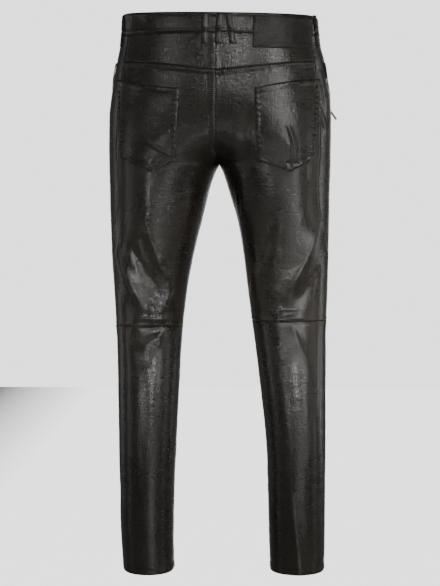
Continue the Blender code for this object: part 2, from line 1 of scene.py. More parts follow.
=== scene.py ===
"""Slim coated-denim trousers, seen from behind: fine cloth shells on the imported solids, with their folds,
sewing, zips and button, and the photo's light and camera."""

import math
from collections import namedtuple
from itertools import product

import bpy
import numpy as np
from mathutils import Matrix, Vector


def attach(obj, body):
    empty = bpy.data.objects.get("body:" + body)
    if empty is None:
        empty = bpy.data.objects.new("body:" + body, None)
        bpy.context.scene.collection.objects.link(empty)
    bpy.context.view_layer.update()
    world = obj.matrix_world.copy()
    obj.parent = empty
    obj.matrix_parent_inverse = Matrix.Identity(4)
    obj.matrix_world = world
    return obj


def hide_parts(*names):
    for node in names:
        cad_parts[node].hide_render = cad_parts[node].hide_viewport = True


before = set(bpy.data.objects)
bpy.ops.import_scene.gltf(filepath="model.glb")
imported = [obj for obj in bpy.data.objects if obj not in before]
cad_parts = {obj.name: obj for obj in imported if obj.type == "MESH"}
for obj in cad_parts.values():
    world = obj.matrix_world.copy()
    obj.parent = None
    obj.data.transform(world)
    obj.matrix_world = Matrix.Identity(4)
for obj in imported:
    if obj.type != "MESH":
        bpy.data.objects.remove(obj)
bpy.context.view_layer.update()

CM = 0.01
BODY = "trousers"
LEFT, RIGHT = -1, 1
SIDE_NAME = {LEFT: "left", RIGHT: "right"}
BACK, FRONT = -1, 1  # the way a face looks, along y

# ---- the form, as in the part's source, in centimetres
CROTCH = -24.2
HEM = -96.0
BAND_TOP = 1.76
BAND_BOTTOM = -1.74
YOKE_SEAM = -6.4
YOKE_DIP = 1.7
YOKE_DIP_END = -14.0
KNEE_SEAM = -52.1
FRONT_DROP = 2.4
FRONT_DROP_END = -15.0
LOBES_PART = -11.0
LOBES_EASE = 1.4
BRIDGE_BACK, BRIDGE_FRONT = 0.65, 0.9
BRIDGE_RISE = 6.5
SEAM_GAP = 0.03

# side_seam is an angle round the form, in degrees
COLUMNS = "height left_outer left_inner right_inner right_outer back front corner side_seam".split()
SECTIONS = np.array([
    (3.0, 17.05, 0, 0, 17.0, 11.0, 10.4, 2.3, -28),
    (0.0, 17.15, 0, 0, 17.38, 11.2, 10.6, 2.3, -28),
    (-3.6, 17.5, 0, 0, 17.75, 11.8, 11.0, 2.3, -28),
    (-6.4, 18.05, 0, 0, 18.5, 12.3, 11.3, 2.3, -28),
    (-9.6, 18.6, 0, 0, 18.85, 12.9, 11.5, 2.3, -28),
    (-12.4, 18.97, 0, 0, 19.4, 13.3, 11.5, 2.3, -29),
    (-15.3, 19.3, 0, 0, 19.6, 13.4, 11.3, 2.3, -30),
    (-19.6, 19.38, 0, 0, 19.62, 13.0, 10.9, 2.25, -34),
    (-24.2, 19.4, 0, 0, 19.55, 11.95, 10.45, 2.2, -39),
    (-25.6, 19.38, 0.68, 0.62, 19.52, 11.7, 10.35, 2.2, -40),
    (-28.1, 19.34, 1.6, 1.45, 19.45, 11.2, 10.2, 2.15, -42),
    (-33.8, 19.3, 3.05, 3.15, 19.38, 9.9, 9.4, 2.1, -35),
    (-39.5, 19.1, 4.46, 4.19, 19.26, 8.4, 8.6, 2.1, -15),
    (-45.2, 18.78, 5.61, 4.87, 19.12, 7.1, 7.7, 2.1, -2),
    (-50.9, 18.52, 6.32, 5.62, 18.94, 6.2, 6.9, 2.1, 4),
    (-56.6, 18.19, 6.81, 6.38, 18.84, 6.6, 5.9, 2.1, 5),
    (-65.1, 17.94, 7.2, 7.47, 18.82, 7.3, 4.7, 2.1, 6),
    (-73.7, 17.82, 7.62, 8.36, 18.84, 7.3, 3.9, 2.1, 6),
    (-82.2, 17.65, 7.98, 8.65, 18.78, 7.0, 3.5, 2.1, 5),
    (-90.8, 17.48, 8.12, 8.86, 18.74, 6.8, 3.4, 2.1, 4),
    (-96.4, 17.05, 8.0, 9.08, 18.66, 6.8, 3.4, 2.1, 4),
])
HEIGHTS = SECTIONS[:, 0]

# A fold or crease: a soft ridge, or a trough where its rise is negative, along a path of (x, z) points seen
# straight on. width is its half width, and other_width, where given, that to the right of the way it runs.
# ends says how high it starts and stops: 0 fades out, 0.5 keeps its full height.
Crease = namedtuple("Crease", "face path width rise other_width ends", defaults=(None, 0.15))

# The folds of the solids, but for three on the left thigh that are redrawn among the small ones:
# from (x, z) to (x, z), half width, rise.
SOLID_FOLDS = {
    BACK: [
        (-11.2, -36.5, -9.0, -45.5, 1.2, 0.35),
        (-13.0, -37.5, -11.2, -44.5, 1.1, -0.3),
        (-14.5, -51.3, -8.6, -51.5, 0.9, 0.35),
        (-9.2, -53.9, -13.0, -57.0, 1.0, 0.28),
        (-15.2, -54.6, -12.4, -60.0, 1.2, -0.25),
        (-11.8, -27.0, -11.6, -36.0, 1.6, 0.25),
        (-5.0, -30.0, -4.9, -37.0, 1.1, 0.22),
        (17.6, -34.6, 15.6, -40.4, 1.4, 0.55),
        (15.6, -40.4, 12.4, -46.6, 1.4, 0.6),
        (17.6, -41.0, 14.6, -47.4, 1.1, -0.3),
        (7.0, -39.6, 6.1, -47.6, 1.0, 0.32),
        (10.2, -32.4, 7.4, -41.6, 1.4, -0.35),
        (10.6, -50.9, 15.2, -50.6, 0.9, 0.35),
        (12.6, -53.2, 14.6, -57.4, 1.0, 0.28),
        (5.4, -15.0, 4.6, -24.0, 1.3, -0.3),
        (4.3, -27.0, 4.9, -33.5, 1.1, 0.25),
    ],
    FRONT: [
        (-2.2, -21.0, -7.6, -17.4, 1.2, 0.3),
        (-3.0, -25.0, -9.4, -22.6, 1.3, 0.28),
        (2.2, -21.4, 7.2, -18.2, 1.2, 0.3),
        (3.2, -25.4, 9.0, -23.4, 1.3, 0.26),
        (-16.6, -47.6, -9.6, -50.4, 1.2, 0.35),
        (-8.4, -52.0, -14.6, -55.4, 1.2, 0.32),
        (7.6, -46.8, 15.0, -49.6, 1.2, 0.35),
        (17.0, -51.4, 10.2, -55.0, 1.2, 0.32),
        (10.4, -84.6, 16.4, -86.4, 1.1, 0.22),
        (-16.0, -85.2, -9.8, -86.0, 1.1, 0.22),
    ],
}
CREASES = [
    Crease(face, [(x0, z0), (x1, z1)], width, rise)
    for face, folds in SOLID_FOLDS.items()
    for x0, z0, x1, z1, width, rise in folds
]


def ease(t):
    t = np.clip(t, 0.0, 1.0)
    return t * t * (3 - 2 * t)


def form_size(column, height):
    """One column of the sections at any height, smoothly joined."""
    values = SECTIONS[:, COLUMNS.index(column)]
    steps = np.arange(len(values))
    before, after = np.maximum(steps - 1, 0), np.minimum(steps + 1, steps[-1])
    slopes = (values[after] - values[before]) / (HEIGHTS[after] - HEIGHTS[before])
    height = np.clip(height, HEIGHTS[-1], HEIGHTS[0])
    i = np.clip(np.searchsorted(-HEIGHTS, -height, side="left") - 1, 0, steps[-1] - 1)
    span = HEIGHTS[i + 1] - HEIGHTS[i]
    t = (height - HEIGHTS[i]) / span
    bend = (t**3 - 2 * t**2 + t) * slopes[i] + (t**3 - t**2) * slopes[i + 1]
    return values[i] + (values[i + 1] - values[i]) * ease(t) + bend * span


def by_side(side, name, height):
    """A left or right column, where side may be one number or an array."""
    left, right = form_size("left_" + name, height), form_size("right_" + name, height)
    return np.where(np.asarray(side) == LEFT, left, right)


Lobe = namedtuple("Lobe", "middle half_width depth_middle half_depth corner share")


def lobe(side, height):
    height = np.asarray(height, dtype=float)
    outer, inner = by_side(side, "outer", height), by_side(side, "inner", height)
    back, front, corner = form_size("back", height), form_size("front", height), form_size("corner", height)
    parted = np.clip((LOBES_PART - height) / (LOBES_PART - CROTCH), 0.0, 1.0)
    over = height > CROTCH
    share = np.where(over, ease(parted**LOBES_EASE), 1.0)
    half_width = np.where(over, outer / (1 + share), (outer - inner) / 2)
    middle = np.where(over, half_width * share, (outer + inner) / 2)
    return Lobe(middle, half_width, (front - back) / 2, (front + back) / 2, corner, share)


def rounded(value, corner):
    return np.sign(value) * np.abs(value) ** (2 / corner)


def form_point(side, height, angle):
    height, angle = np.broadcast_arrays(np.asarray(height, dtype=float), np.asarray(angle, dtype=float))
    o = lobe(side, height)
    turn = np.radians(angle)
    x = o.middle + o.half_width * rounded(np.cos(turn), o.corner)
    depth = rounded(np.sin(turn), o.corner)
    bridge = np.where(angle < 0, BRIDGE_BACK, BRIDGE_FRONT) * ease((height - CROTCH) / BRIDGE_RISE)
    spanned = np.sign(angle) * (np.abs(depth) + (1 - np.abs(depth)) * bridge)
    depth = np.where((height > CROTCH) & (np.abs(angle) > 90), spanned, depth)
    y = o.depth_middle + o.half_depth * depth
    return np.stack([np.asarray(side) * (x + SEAM_GAP / 2), y, height], axis=-1)


def unit(v):
    return v / np.maximum(np.linalg.norm(v, axis=-1, keepdims=True), 1e-9)


def form_normal(side, height, angle):
    turn, step = 1.5, 0.05
    round_it = form_point(side, height, angle + turn) - form_point(side, height, angle - turn)
    down_it = form_point(side, height - step, angle) - form_point(side, height + step, angle)
    return unit(np.cross(round_it, down_it)) * -np.asarray(side)[..., None]


def along_path(x, z, path):
    """Distance from a path, share of the way along it, and the side: 1 to the left of the way it runs."""
    path = np.asarray(path, dtype=float)
    lengths = np.linalg.norm(np.diff(path, axis=0), axis=1)
    starts = np.concatenate([[0.0], np.cumsum(lengths)])
    best = np.full(x.shape, 1e9)
    share, hand = np.zeros(x.shape), np.ones(x.shape)
    for (x0, z0), (x1, z1), begun, length in zip(path, path[1:], starts, lengths):
        ux, uz = (x1 - x0) / length, (z1 - z0) / length
        t = np.clip((x - x0) * ux + (z - z0) * uz, 0.0, length)
        off = np.hypot(x - x0 - ux * t, z - z0 - uz * t)
        nearer = off < best
        best = np.where(nearer, off, best)
        share = np.where(nearer, (begun + t) / starts[-1], share)
        hand = np.where(nearer, np.where(ux * (z - z0) - uz * (x - x0) >= 0, 1, -1), hand)
    return best, share, hand


def crease_rise(point, normal, creases):
    """How far the creases move places outwards. They die out at the middle seams."""
    x, z = point[..., 0], point[..., 2]
    rise = np.zeros(x.shape)
    for crease in creases:
        path = np.asarray(crease.path)
        reach = 3.2 * max(crease.width, crease.other_width or 0.0)
        (low_x, low_z), (high_x, high_z) = path.min(axis=0) - reach, path.max(axis=0) + reach
        near = (normal[..., 1] * crease.face > 0) & (x * np.sign(path[:, 0].mean()) > 0)
        near &= (x > low_x) & (x < high_x) & (z > low_z) & (z < high_z)
        if not near.any():
            continue
        off, share, hand = along_path(x[near], z[near], path)
        width = np.where(hand > 0, crease.width, crease.other_width or crease.width)
        taper = np.sin(np.pi * (crease.ends + (1 - 2 * crease.ends) * share))
        facing = ease(normal[..., 1][near] * crease.face * 1.6)
        rise[near] += crease.rise * taper * np.exp(-((off / width) ** 2)) * facing
    return rise * ease((np.abs(x) - SEAM_GAP) / 2.5)


# Smaller folds and creases of the render alone, on the back: path, half width, rise, other half width, ends.
SMALL_CREASES = [
    # left leg
    ([(-17.9, -39.6), (-15.6, -44.6), (-12.8, -49.2), (-10.4, -49.7), (-8.9, -47.6)], 1.15, 0.62, 1.5, 0.25),
    ([(-15.2, -38.4), (-12.6, -43.2), (-10.8, -46.2)], 0.85, -0.42, 0.7),
    ([(-11.2, -38.1), (-10.4, -41.1), (-8.9, -44.3), (-8.8, -46.5)], 0.32, 0.2, 0.2),
    ([(-17.0, -20.5), (-17.1, -28.2)], 0.3, 0.17),
    ([(-13.6, -51.0), (-9.0, -51.2)], 0.35, 0.15),
    ([(-9.0, -53.0), (-12.6, -55.9)], 0.35, 0.2, 0.6),
    ([(-12.7, -58.6), (-12.3, -62.0)], 0.35, 0.07),
    ([(-8.4, -71.0), (-8.5, -94.0)], 0.35, 0.08),
    ([(-9.3, -24.6), (-12.2, -26.4)], 0.4, 0.07),
    # right leg
    ([(17.4, -34.6), (16.2, -38.1), (14.8, -41.1), (12.5, -45.6)], 0.4, 0.2, 0.28),
    ([(7.0, -40.3), (6.0, -43.5), (5.8, -47.2)], 0.3, 0.18, 0.2),
    ([(7.8, -16.5), (6.7, -23.6)], 0.6, -0.14),
    ([(10.0, -32.9), (7.7, -39.9), (6.0, -44.4)], 0.6, -0.12),
    ([(3.1, -28.4), (3.7, -34.0)], 0.28, 0.18),
    ([(4.9, -28.4), (3.9, -34.0)], 0.28, 0.18),
    ([(3.8, -34.0), (4.7, -41.6)], 0.28, 0.14),
    ([(17.6, -8.3), (18.4, -12.0), (19.0, -15.9)], 0.3, 0.22),
    ([(17.4, -13.8), (18.1, -16.4), (18.9, -19.2)], 0.3, 0.22),
    ([(15.8, -22.4), (15.8, -27.8)], 0.25, 0.15),
    ([(11.0, -49.9), (15.0, -49.9)], 0.28, 0.15),
    ([(11.9, -50.9), (14.8, -50.9)], 0.25, 0.13),
    ([(12.9, -52.4), (14.1, -55.8)], 0.35, 0.2),
    ([(10.6, -52.6), (10.7, -56.8)], 0.6, 0.07),
    ([(17.1, -53.8), (17.1, -69.0)], 0.35, 0.1),
    ([(9.1, -83.2), (9.1, -88.1)], 0.35, 0.07),
    ([(12.8, -82.6), (14.0, -92.0), (14.4, -96.5)], 0.9, 0.3, None, 0.3),
    # seat
    ([(12.2, -17.8), (13.0, -20.4), (13.0, -24.4)], 0.38, 0.22, 0.28),
    ([(-11.4, -20.7), (-7.7, -22.7)], 0.35, 0.22, 0.28),
]
CREASES += [Crease(BACK, *values) for values in SMALL_CREASES]

# ---- small tools


def lattice(i, j, seed):
    n = np.sin(i * 127.1 + j * 311.7 + seed * 74.7) * 43758.5453
    return n - np.floor(n)


def noise(x, y, seed):
    """Smooth, from -1 to 1, one lump to a unit."""
    i, j = np.floor(x), np.floor(y)
    u, v = x - i, y - j
    u, v = u * u * (3 - 2 * u), v * v * (3 - 2 * v)
    top = lattice(i, j, seed) * (1 - u) + lattice(i + 1, j, seed) * u
    low = lattice(i, j + 1, seed) * (1 - u) + lattice(i + 1, j + 1, seed) * u
    return 2 * (top * (1 - v) + low * v) - 1


def bump(d, at, width):
    return np.exp(-(((d - at) / width) ** 2))


# Where the first rows of a grid lie by an edge, where the sewing is. A short piece takes the first few.
EDGE_STEPS = np.array([0.05, 0.11, 0.18, 0.27, 0.38, 0.52, 0.68, 0.86, 1.06])
SHORT_PIECE, SHORT_STEPS = 5.0, 6


def spaced(length, cell):
    """Shares from 0 to 1 over a length: even cells, with finer ones by both ends."""
    edge = EDGE_STEPS
    if length < SHORT_PIECE:
        edge = edge[:SHORT_STEPS] * min(1.0, length / 4.0)
    middle = np.linspace(edge[-1], length - edge[-1], max(int((length - 2 * edge[-1]) / cell), 2) + 1)
    return np.concatenate([[0.0], edge[:-1], middle, length - edge[-2::-1], [length]]) / length


# A piece's grid: outer and inner are places in centimetres, across and down are cloth coordinates, and top,
# bottom, first and last are distances over the cloth from the four edges.
Grid = namedtuple("Grid", "outer inner normal across down top bottom first last")


def layered(point, normal, outer_rise, inner_rise, across, down, edges):
    """A grid from how far its two faces lie above places on the form."""
    outer = point + normal * np.asarray(outer_rise)[..., None]
    inner = point + normal * np.asarray(inner_rise)[..., None]
    return Grid(outer, inner, normal, across, down, *edges)


def edge_distances(places):
    across_steps = np.linalg.norm(np.diff(places, axis=1), axis=2)
    down_steps = np.linalg.norm(np.diff(places, axis=0), axis=2)
    first = np.concatenate([np.zeros((len(places), 1)), np.cumsum(across_steps, axis=1)], axis=1)
    top = np.concatenate([np.zeros((1, places.shape[1])), np.cumsum(down_steps, axis=0)], axis=0)
    return top, top[-1:] - top, first, first[:, -1:] - first


def put(name, data, place=(0, 0, 0), towards=None):
    """A new object in the scene. A camera or light looks along towards."""
    made = bpy.data.objects.new(name, data)
    made.location = place
    if towards is not None:
        made.rotation_mode = "QUATERNION"
        made.rotation_quaternion = towards.to_track_quat("-Z", "Y")
    bpy.context.scene.collection.objects.link(made)
    return made


def add_mesh(name, verts, faces, uvs, look, sharp=50.0):
    """verts (n, 3) in centimetres, faces (m, 4) of indices, uvs (n, 2) in centimetres of cloth."""
    mesh = bpy.data.meshes.new(name)
    mesh.from_pydata((np.asarray(verts) * CM).astype(np.float32), [], faces)
    if uvs is not None:
        layer = mesh.uv_layers.new(name="cloth")
        layer.data.foreach_set("uv", (np.asarray(uvs)[faces.ravel()] * CM).astype(np.float32).ravel())
    mesh.validate()
    mesh.shade_smooth()
    mesh.set_sharp_from_angle(angle=math.radians(sharp))
    mesh.materials.append(look)
    made = put(name, mesh)
    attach(made, BODY)
    return made


def grid_faces(rows, columns, start=0):
    i, j = np.meshgrid(np.arange(rows - 1), np.arange(columns - 1), indexing="ij")
    corner = start + i * columns + j
    return np.stack([corner, corner + columns, corner + columns + 1, corner + 1], -1).reshape(-1, 4)


def shell(name, grid, look):
    """A thin closed cloth wall from a grid's two faces."""
    rows, columns = grid.outer.shape[:2]
    count = rows * columns
    outer, inner = grid_faces(rows, columns), grid_faces(rows, columns, count)[:, ::-1]
    index = np.arange(count).reshape(rows, columns)
    rims = []
    for edge in (index[0, ::-1], index[-1], index[:, 0], index[::-1, -1]):
        a, b = edge[:-1], edge[1:]
        rims.append(np.stack([a, b, b + count, a + count], -1))
    faces = np.concatenate([outer, inner, *rims])
    i, j = rows // 2, columns // 2
    a, b, c = grid.outer[i, j], grid.outer[i + 1, j], grid.outer[i, j + 1]
    if np.dot(np.cross(b - a, c - a), grid.normal[i, j]) < 0:
        faces = faces[:, ::-1]
    verts = np.concatenate([grid.outer.reshape(-1, 3), grid.inner.reshape(-1, 3)])
    uvs = np.stack([grid.across, grid.down], -1).reshape(-1, 2)
    return add_mesh(name, verts, faces, np.concatenate([uvs, uvs]), look)


SHEETS = []


def dress(node, grid, look, name=None):
    """The cloth that stands for one solid."""
    piece = shell(name or node + "_cloth", grid, look)
    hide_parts(node)
    SHEETS.append((piece, grid))
    return grid


# ---- leg panels
KNEE_SLANT, KNEE_SLANT_REACH = 0.45, 7.0
HEM_BOW = {LEFT: 0.5, RIGHT: 0.28}  # how far the back of each hem hangs below its seams
HEM_BOW_REACH = 4.0
CLOTH = 0.15  # thickness of the denim


def middle_angle(side, height):
    o = lobe(side, height)
    return 90 + np.degrees(np.arcsin(np.minimum(o.share ** (o.corner / 2), 1.0)))


def half_gap_angle(side, height, angle):
    o = lobe(side, height)
    turn = np.radians(angle)
    return np.degrees(SEAM_GAP / 2 / np.hypot(o.half_width * np.sin(turn), o.half_depth * np.cos(turn)))


def panel_angle(face, side, height, share):
    """The way round the form, from the middle seam to the side seam, inside the gaps at both."""
    start, end = face * middle_angle(side, height), form_size("side_seam", height)
    start = np.where(height <= CROTCH, start - face * half_gap_angle(side, height, start), start)
    end = end + face * half_gap_angle(side, height, end)
    return start + (end - start) * share


def knee_lift(side, row):
    return side * KNEE_SLANT * ease(1 - np.abs(row - KNEE_SEAM) / KNEE_SLANT_REACH)


def back_height(side, row, share):
    over = (BAND_BOTTOM - row) / (BAND_BOTTOM - YOKE_SEAM)
    under = (row - YOKE_DIP_END) / (YOKE_SEAM - YOKE_DIP_END)
    dip = np.clip(np.where(row >= YOKE_SEAM, over, under), 0.0, 1.0)
    bow = np.sqrt(np.sin(np.pi * np.clip(share, 0.0, 1.0)))
    hem = HEM_BOW[side] * bow * ease(1 - (row - HEM) / HEM_BOW_REACH)
    return row - YOKE_DIP * dip * (1 - share) ** 1.6 + knee_lift(side, row) - hem


def front_height(side, row, share):
    drop = ease((row - FRONT_DROP_END) / (BAND_BOTTOM - FRONT_DROP_END))
    return row - FRONT_DROP * drop * ease(1 - share) + knee_lift(side, row)


def panel_grid(side, face, top, bottom, cell, width, seed, detail):
    """One leg panel's grid. detail gives the rise of its seams from its edge distances."""
    rows = top + (bottom - top) * spaced(top - bottom, cell)
    rows[0] -= SEAM_GAP / 2
    rows[-1] += SEAM_GAP / 2
    row, share = np.meshgrid(rows, spaced(width, cell), indexing="ij")
    height = back_height(side, row, share) if face == BACK else front_height(side, row, share)
    angle = panel_angle(face, side, height, share)
    point, normal = form_point(side, height, angle), form_normal(side, height, angle)
    edges = edge_distances(point)
    smooth = crease_rise(point, normal, CREASES)
    u, v = edges[2], -height
    rise = smooth + detail(side, *edges, u, v, seed) + cloth_noise(u, v, seed)
    return layered(point, normal, rise, smooth - CLOTH, u, v, edges)


def cloth_noise(u, v, seed):
    """The slight unevenness of worn, coated cloth: broad, lying waves and small short creases."""
    broad = 0.03 * noise(u / 5.0, v / 3.4, seed)
    waves = 0.016 * noise(u / 2.6, v / 1.1, seed + 3)
    small = 0.007 * noise(u / 0.9, v / 0.55, seed + 5)
    return broad + waves + small


# Stitches, and how far from its edge each row of them runs.
PITCH, STITCH, THREAD = 0.36, 0.24, 0.042
YOKE_ROWS = (0.13, 0.66)
SEAT_ROWS = (0.16, 0.98)
POCKET_ROWS = (0.17, 0.8)
POCKET_HEM_ROW = 1.25
BAND_TOP_ROW, BAND_BOTTOM_ROW = 0.16, 0.14
PATCH_ROW = 0.26
HEM_ROW = 1.12
LOOP_ROW, LOOP_BAR, LOOP_LOW_BAR = 0.22, 0.14, 2.35
LOOP_THREAD, BAR_THREADS, BAR_THREAD_LENGTH, BAR_WIDTH = 0.026, 9, 0.17, 0.95
FORK_CLEAR = 0.6  # the seat seam's lap ends this far above the fork


def stitched(d, along, at, depth=0.03):
    """A row of stitches: a narrow groove, with the cloth swelling up between one stitch and the next."""
    wave = np.cos(2 * np.pi * along / PITCH)
    return -depth * bump(d, at, 0.07) + 0.014 * wave * bump(d, at, 0.16)


def rolled(d, depth=0.07, width=0.09):
    """A cut edge turned under."""
    return -depth * bump(d, 0.0, width)


def felled(d, along, seed, inner_row, outer_row, rise=0.085):
    """A lapped seam held by two rows of stitching: raised between them, drawn in along each, puckered."""
    plateau = rise * (1 - ease((d - outer_row - 0.05) / 0.3))
    rows = stitched(d, along, inner_row) + stitched(d, along, outer_row)
    drawn = 0.04 * noise(along / 0.62, d / 1.4, seed) * np.exp(-np.maximum(d - outer_row, 0) / 0.55)
    return plateau + rows + drawn


def pucker(d, along, seed, reach, pitch, rise):
    """Small ripples that run off a stitched edge and fade."""
    return rise * noise(along / pitch, d / 2.2, seed) * np.exp(-d / reach) * ease(d / 0.2)


def seam_edge(d, along, seed, ridge, place, width, reach, pitch, ripple):
    """The soft ridge beside a seam and the ripples that run off it."""
    return ridge * bump(d, place, width) + pucker(d, along, seed, reach, pitch, ripple)


def seat_lap(side, first, v, seed):
    """The seat seam laps over on the left and is plain on the right."""
    return felled(first, v, seed, *SEAT_ROWS) if side == LEFT else 0.05 * bump(first, 0.0, 0.35)


def hem_rise(bottom, u, seed):
    """A narrow turned hem, sewn close to its edge."""
    turned = 0.035 * (1 - ease((bottom - 1.05) / 0.2)) * ease(bottom / 0.12)
    sewn = turned - 0.03 * bump(bottom, HEM_ROW, 0.08) + rolled(bottom, 0.09, 0.1)
    return sewn + pucker(np.maximum(bottom - 1.2, 0.0), u, seed + 24, 0.8, 0.9, 0.02)


def yoke_detail(side, top, bottom, first, last, u, v, seed):
    rise = rolled(top, 0.08) + rolled(bottom, 0.08) + rolled(last, 0.06)
    rise += seam_edge(top, u, seed + 31, 0.03, 0.35, 0.3, 0.8, 0.8, 0.03)
    rise += pucker(bottom, u, seed + 32, 0.8, 0.8, 0.025)
    return rise + seat_lap(side, first, v, seed + 33) + 0.03 * bump(last, 0.32, 0.26)


def back_detail(side, top, bottom, first, last, u, v, seed):
    rise = rolled(top) + rolled(bottom, 0.06) + rolled(last, 0.06)
    rise += felled(top, u, seed + 11, *YOKE_ROWS)
    rise += pucker(np.maximum(top - 0.7, 0.0), u, seed + 12, 0.9, 0.75, 0.065)
    above_fork = (v < -CROTCH - FORK_CLEAR) | (side == RIGHT)
    rise += np.where(above_fork, seat_lap(side, first, v, seed + 13), 0.0)
    rise += pucker(first, v, seed + 14, 0.8, 0.9, 0.03)
    rise += seam_edge(last, v, seed + 15, 0.035, 0.32, 0.26, 0.7, 1.1, 0.03)
    return rise + seam_edge(bottom, u, seed + 16, 0.05, 0.3, 0.26, 0.8, 1.3, 0.03)


def calf_detail(side, top, bottom, first, last, u, v, seed):
    rise = rolled(top, 0.08) + rolled(first, 0.05) + rolled(last, 0.06)
    rise += seam_edge(top, u, seed + 21, 0.045, 0.35, 0.3, 0.9, 1.1, 0.035)
    rise += seam_edge(last, v, seed + 22, 0.03, 0.32, 0.26, 0.7, 1.2, 0.028)
    return rise + pucker(first, v, seed + 23, 0.7, 1.2, 0.025) + hem_rise(bottom, u, seed)


def front_detail(side, top, bottom, first, last, u, v, seed):
    rise = rolled(top, 0.08) + rolled(first, 0.05) + rolled(last, 0.06)
    rise += seam_edge(top, u, seed + 41, 0.03, 0.35, 0.3, 0.8, 0.8, 0.03)
    rise += seam_edge(first, v, seed + 42, 0.03, 0.3, 0.25, 0.8, 1.0, 0.028)
    return rise + pucker(last, v, seed + 43, 0.7, 1.2, 0.028) + hem_rise(bottom, u, seed)


# ---- materials


class Nodes:
    """A short way to lay out one material's nodes."""

    def __init__(self, name, colour, roughness, metallic=0.0):
        self.material = bpy.data.materials.new(name)
        self.material.use_nodes = True
        self.tree = self.material.node_tree
        self.shader = self.tree.nodes["Principled BSDF"]
        self.link("Base Color", (*colour, 1.0))
        self.link("Roughness", roughness)
        self.link("Metallic", metallic)

    def add(self, kind, output, inputs=None, **settings):
        """One output of a new node. Its inputs are values or other nodes' outputs."""
        node = self.tree.nodes.new("ShaderNode" + kind)
        for key, value in settings.items():
            setattr(node, key, value)
        self.feed(node, inputs or {})
        return node.outputs[output]

    def feed(self, node, inputs):
        for socket, value in inputs.items():
            if hasattr(value, "is_output"):
                self.tree.links.new(value, node.inputs[socket])
            else:
                node.inputs[socket].default_value = value

    def link(self, socket, value):
        self.feed(self.shader, {socket: value})

    def cloth(self, across, down, turn=0.0):
        """Cloth coordinates in lumps a metre, across and down the piece."""
        inputs = {"Scale": (across, down, 1.0), "Rotation": (0.0, 0.0, math.radians(turn))}
        return self.add("Mapping", "Vector", {"Vector": self.add("UVMap", "UV", uv_map="cloth"), **inputs})

    def place(self):
        return self.add("TexCoord", "Object")

    def noise(self, vector, scale=1.0, detail=2.0, roughness=0.5):
        inputs = {"Vector": vector, "Scale": scale, "Detail": detail, "Roughness": roughness}
        return self.add("TexNoise", "Fac", inputs)

    def math(self, operation, a, b=0.0):
        return self.add("Math", "Value", {0: a, 1: b}, operation=operation)

    def sum(self, *terms):
        """Terms are (value, weight) pairs."""
        total = None
        for value, weight in terms:
            part = self.math("MULTIPLY", value, weight)
            total = part if total is None else self.math("ADD", total, part)
        return total

    def spread(self, value, low, high, from_low=0.3, from_high=0.7):
        inputs = {"Value": value, "From Min": from_low, "From Max": from_high, "To Min": low, "To Max": high}
        return self.add("MapRange", "Result", inputs)

    def blend(self, value, low, high, from_low=0.3, from_high=0.7):
        """A colour between two, by a value."""
        share = self.spread(value, 0.0, 1.0, from_low, from_high)
        inputs = {"Factor": share, "A": (*low, 1.0), "B": (*high, 1.0)}
        return self.add("Mix", "Result", inputs, data_type="RGBA")

    def bump(self, height, distance, strength, over=None):
        """Small relief, laid over another bump where one is given."""
        inputs = {"Height": height, "Distance": distance, "Strength": strength}
        return self.add("Bump", "Normal", {**inputs, "Normal": over} if over else inputs)

    def coat(self, front, edge):
        """The strength of the gloss: less where the surface turns away."""
        facing = self.add("LayerWeight", "Facing", {"Blend": 0.5})
        self.link("Specular IOR Level", self.spread(facing, front, edge, 0.15, 0.8))


def coated_denim():
    """Black denim under a brownish wax coat: gloss that breaks up over the twill and its thicker threads."""
    m = Nodes("coated denim", (0.012, 0.01, 0.008), 0.4)
    clouds = m.noise(m.cloth(9, 6), detail=4.0, roughness=0.6)
    warp = m.noise(m.cloth(330, 45), detail=2.0, roughness=0.6)
    weft = m.noise(m.cloth(40, 310), detail=2.0, roughness=0.6)
    lines = {"Vector": m.cloth(1, 1, 27.0), "Scale": 145.0, "Distortion": 1.2, "Detail": 1.0}
    twill = m.add("TexWave", "Fac", lines, bands_direction="Y")
    crackle = m.noise(m.cloth(160, 190), detail=3.0, roughness=0.6)
    tone = m.sum((clouds, 0.6), (warp, 0.2), (weft, 0.2))
    m.link("Base Color", m.blend(tone, (0.0085, 0.0074, 0.006), (0.019, 0.0155, 0.0115), 0.35, 0.65))
    gloss = m.sum((clouds, 0.35), (warp, 0.3), (weft, 0.35))
    m.link("Roughness", m.spread(gloss, 0.23, 0.37, 0.36, 0.64))
    m.coat(0.36, 0.02)
    slubs = m.sum((warp, 0.38), (weft, 0.45), (crackle, 0.8))
    m.link("Normal", m.bump(slubs, 0.00065, 0.9, m.bump(twill, 0.00006, 0.6)))
    return m.material


def patch_leather():
    """Smooth leather, a touch browner than the cloth: fine pores and a soft, broken gloss."""
    m = Nodes("patch leather", (0.01, 0.008, 0.007), 0.45)
    clouds = m.noise(m.cloth(60, 60), detail=3.0, roughness=0.6)
    pores = m.add("TexVoronoi", "Distance", {"Vector": m.cloth(1, 1), "Scale": 1100.0})
    m.link("Base Color", m.blend(clouds, (0.0055, 0.0042, 0.0036), (0.012, 0.0088, 0.0072)))
    m.link("Roughness", m.spread(clouds, 0.36, 0.56))
    m.coat(0.24, 0.02)
    m.link("Normal", m.bump(pores, 0.00015, 0.6, m.bump(clouds, 0.002, 0.8)))
    return m.material


def woven_tape():
    """Fine black polyester weave with its ribs across."""
    m = Nodes("zip tape", (0.01, 0.01, 0.01), 0.75)
    ribs = m.noise(m.cloth(260, 1500), detail=2.0, roughness=0.6)
    m.link("Base Color", m.blend(ribs, (0.005, 0.005, 0.0052), (0.017, 0.0165, 0.016)))
    m.link("Roughness", m.spread(ribs, 0.62, 0.85))
    m.link("Normal", m.bump(ribs, 0.0003, 0.7))
    return m.material


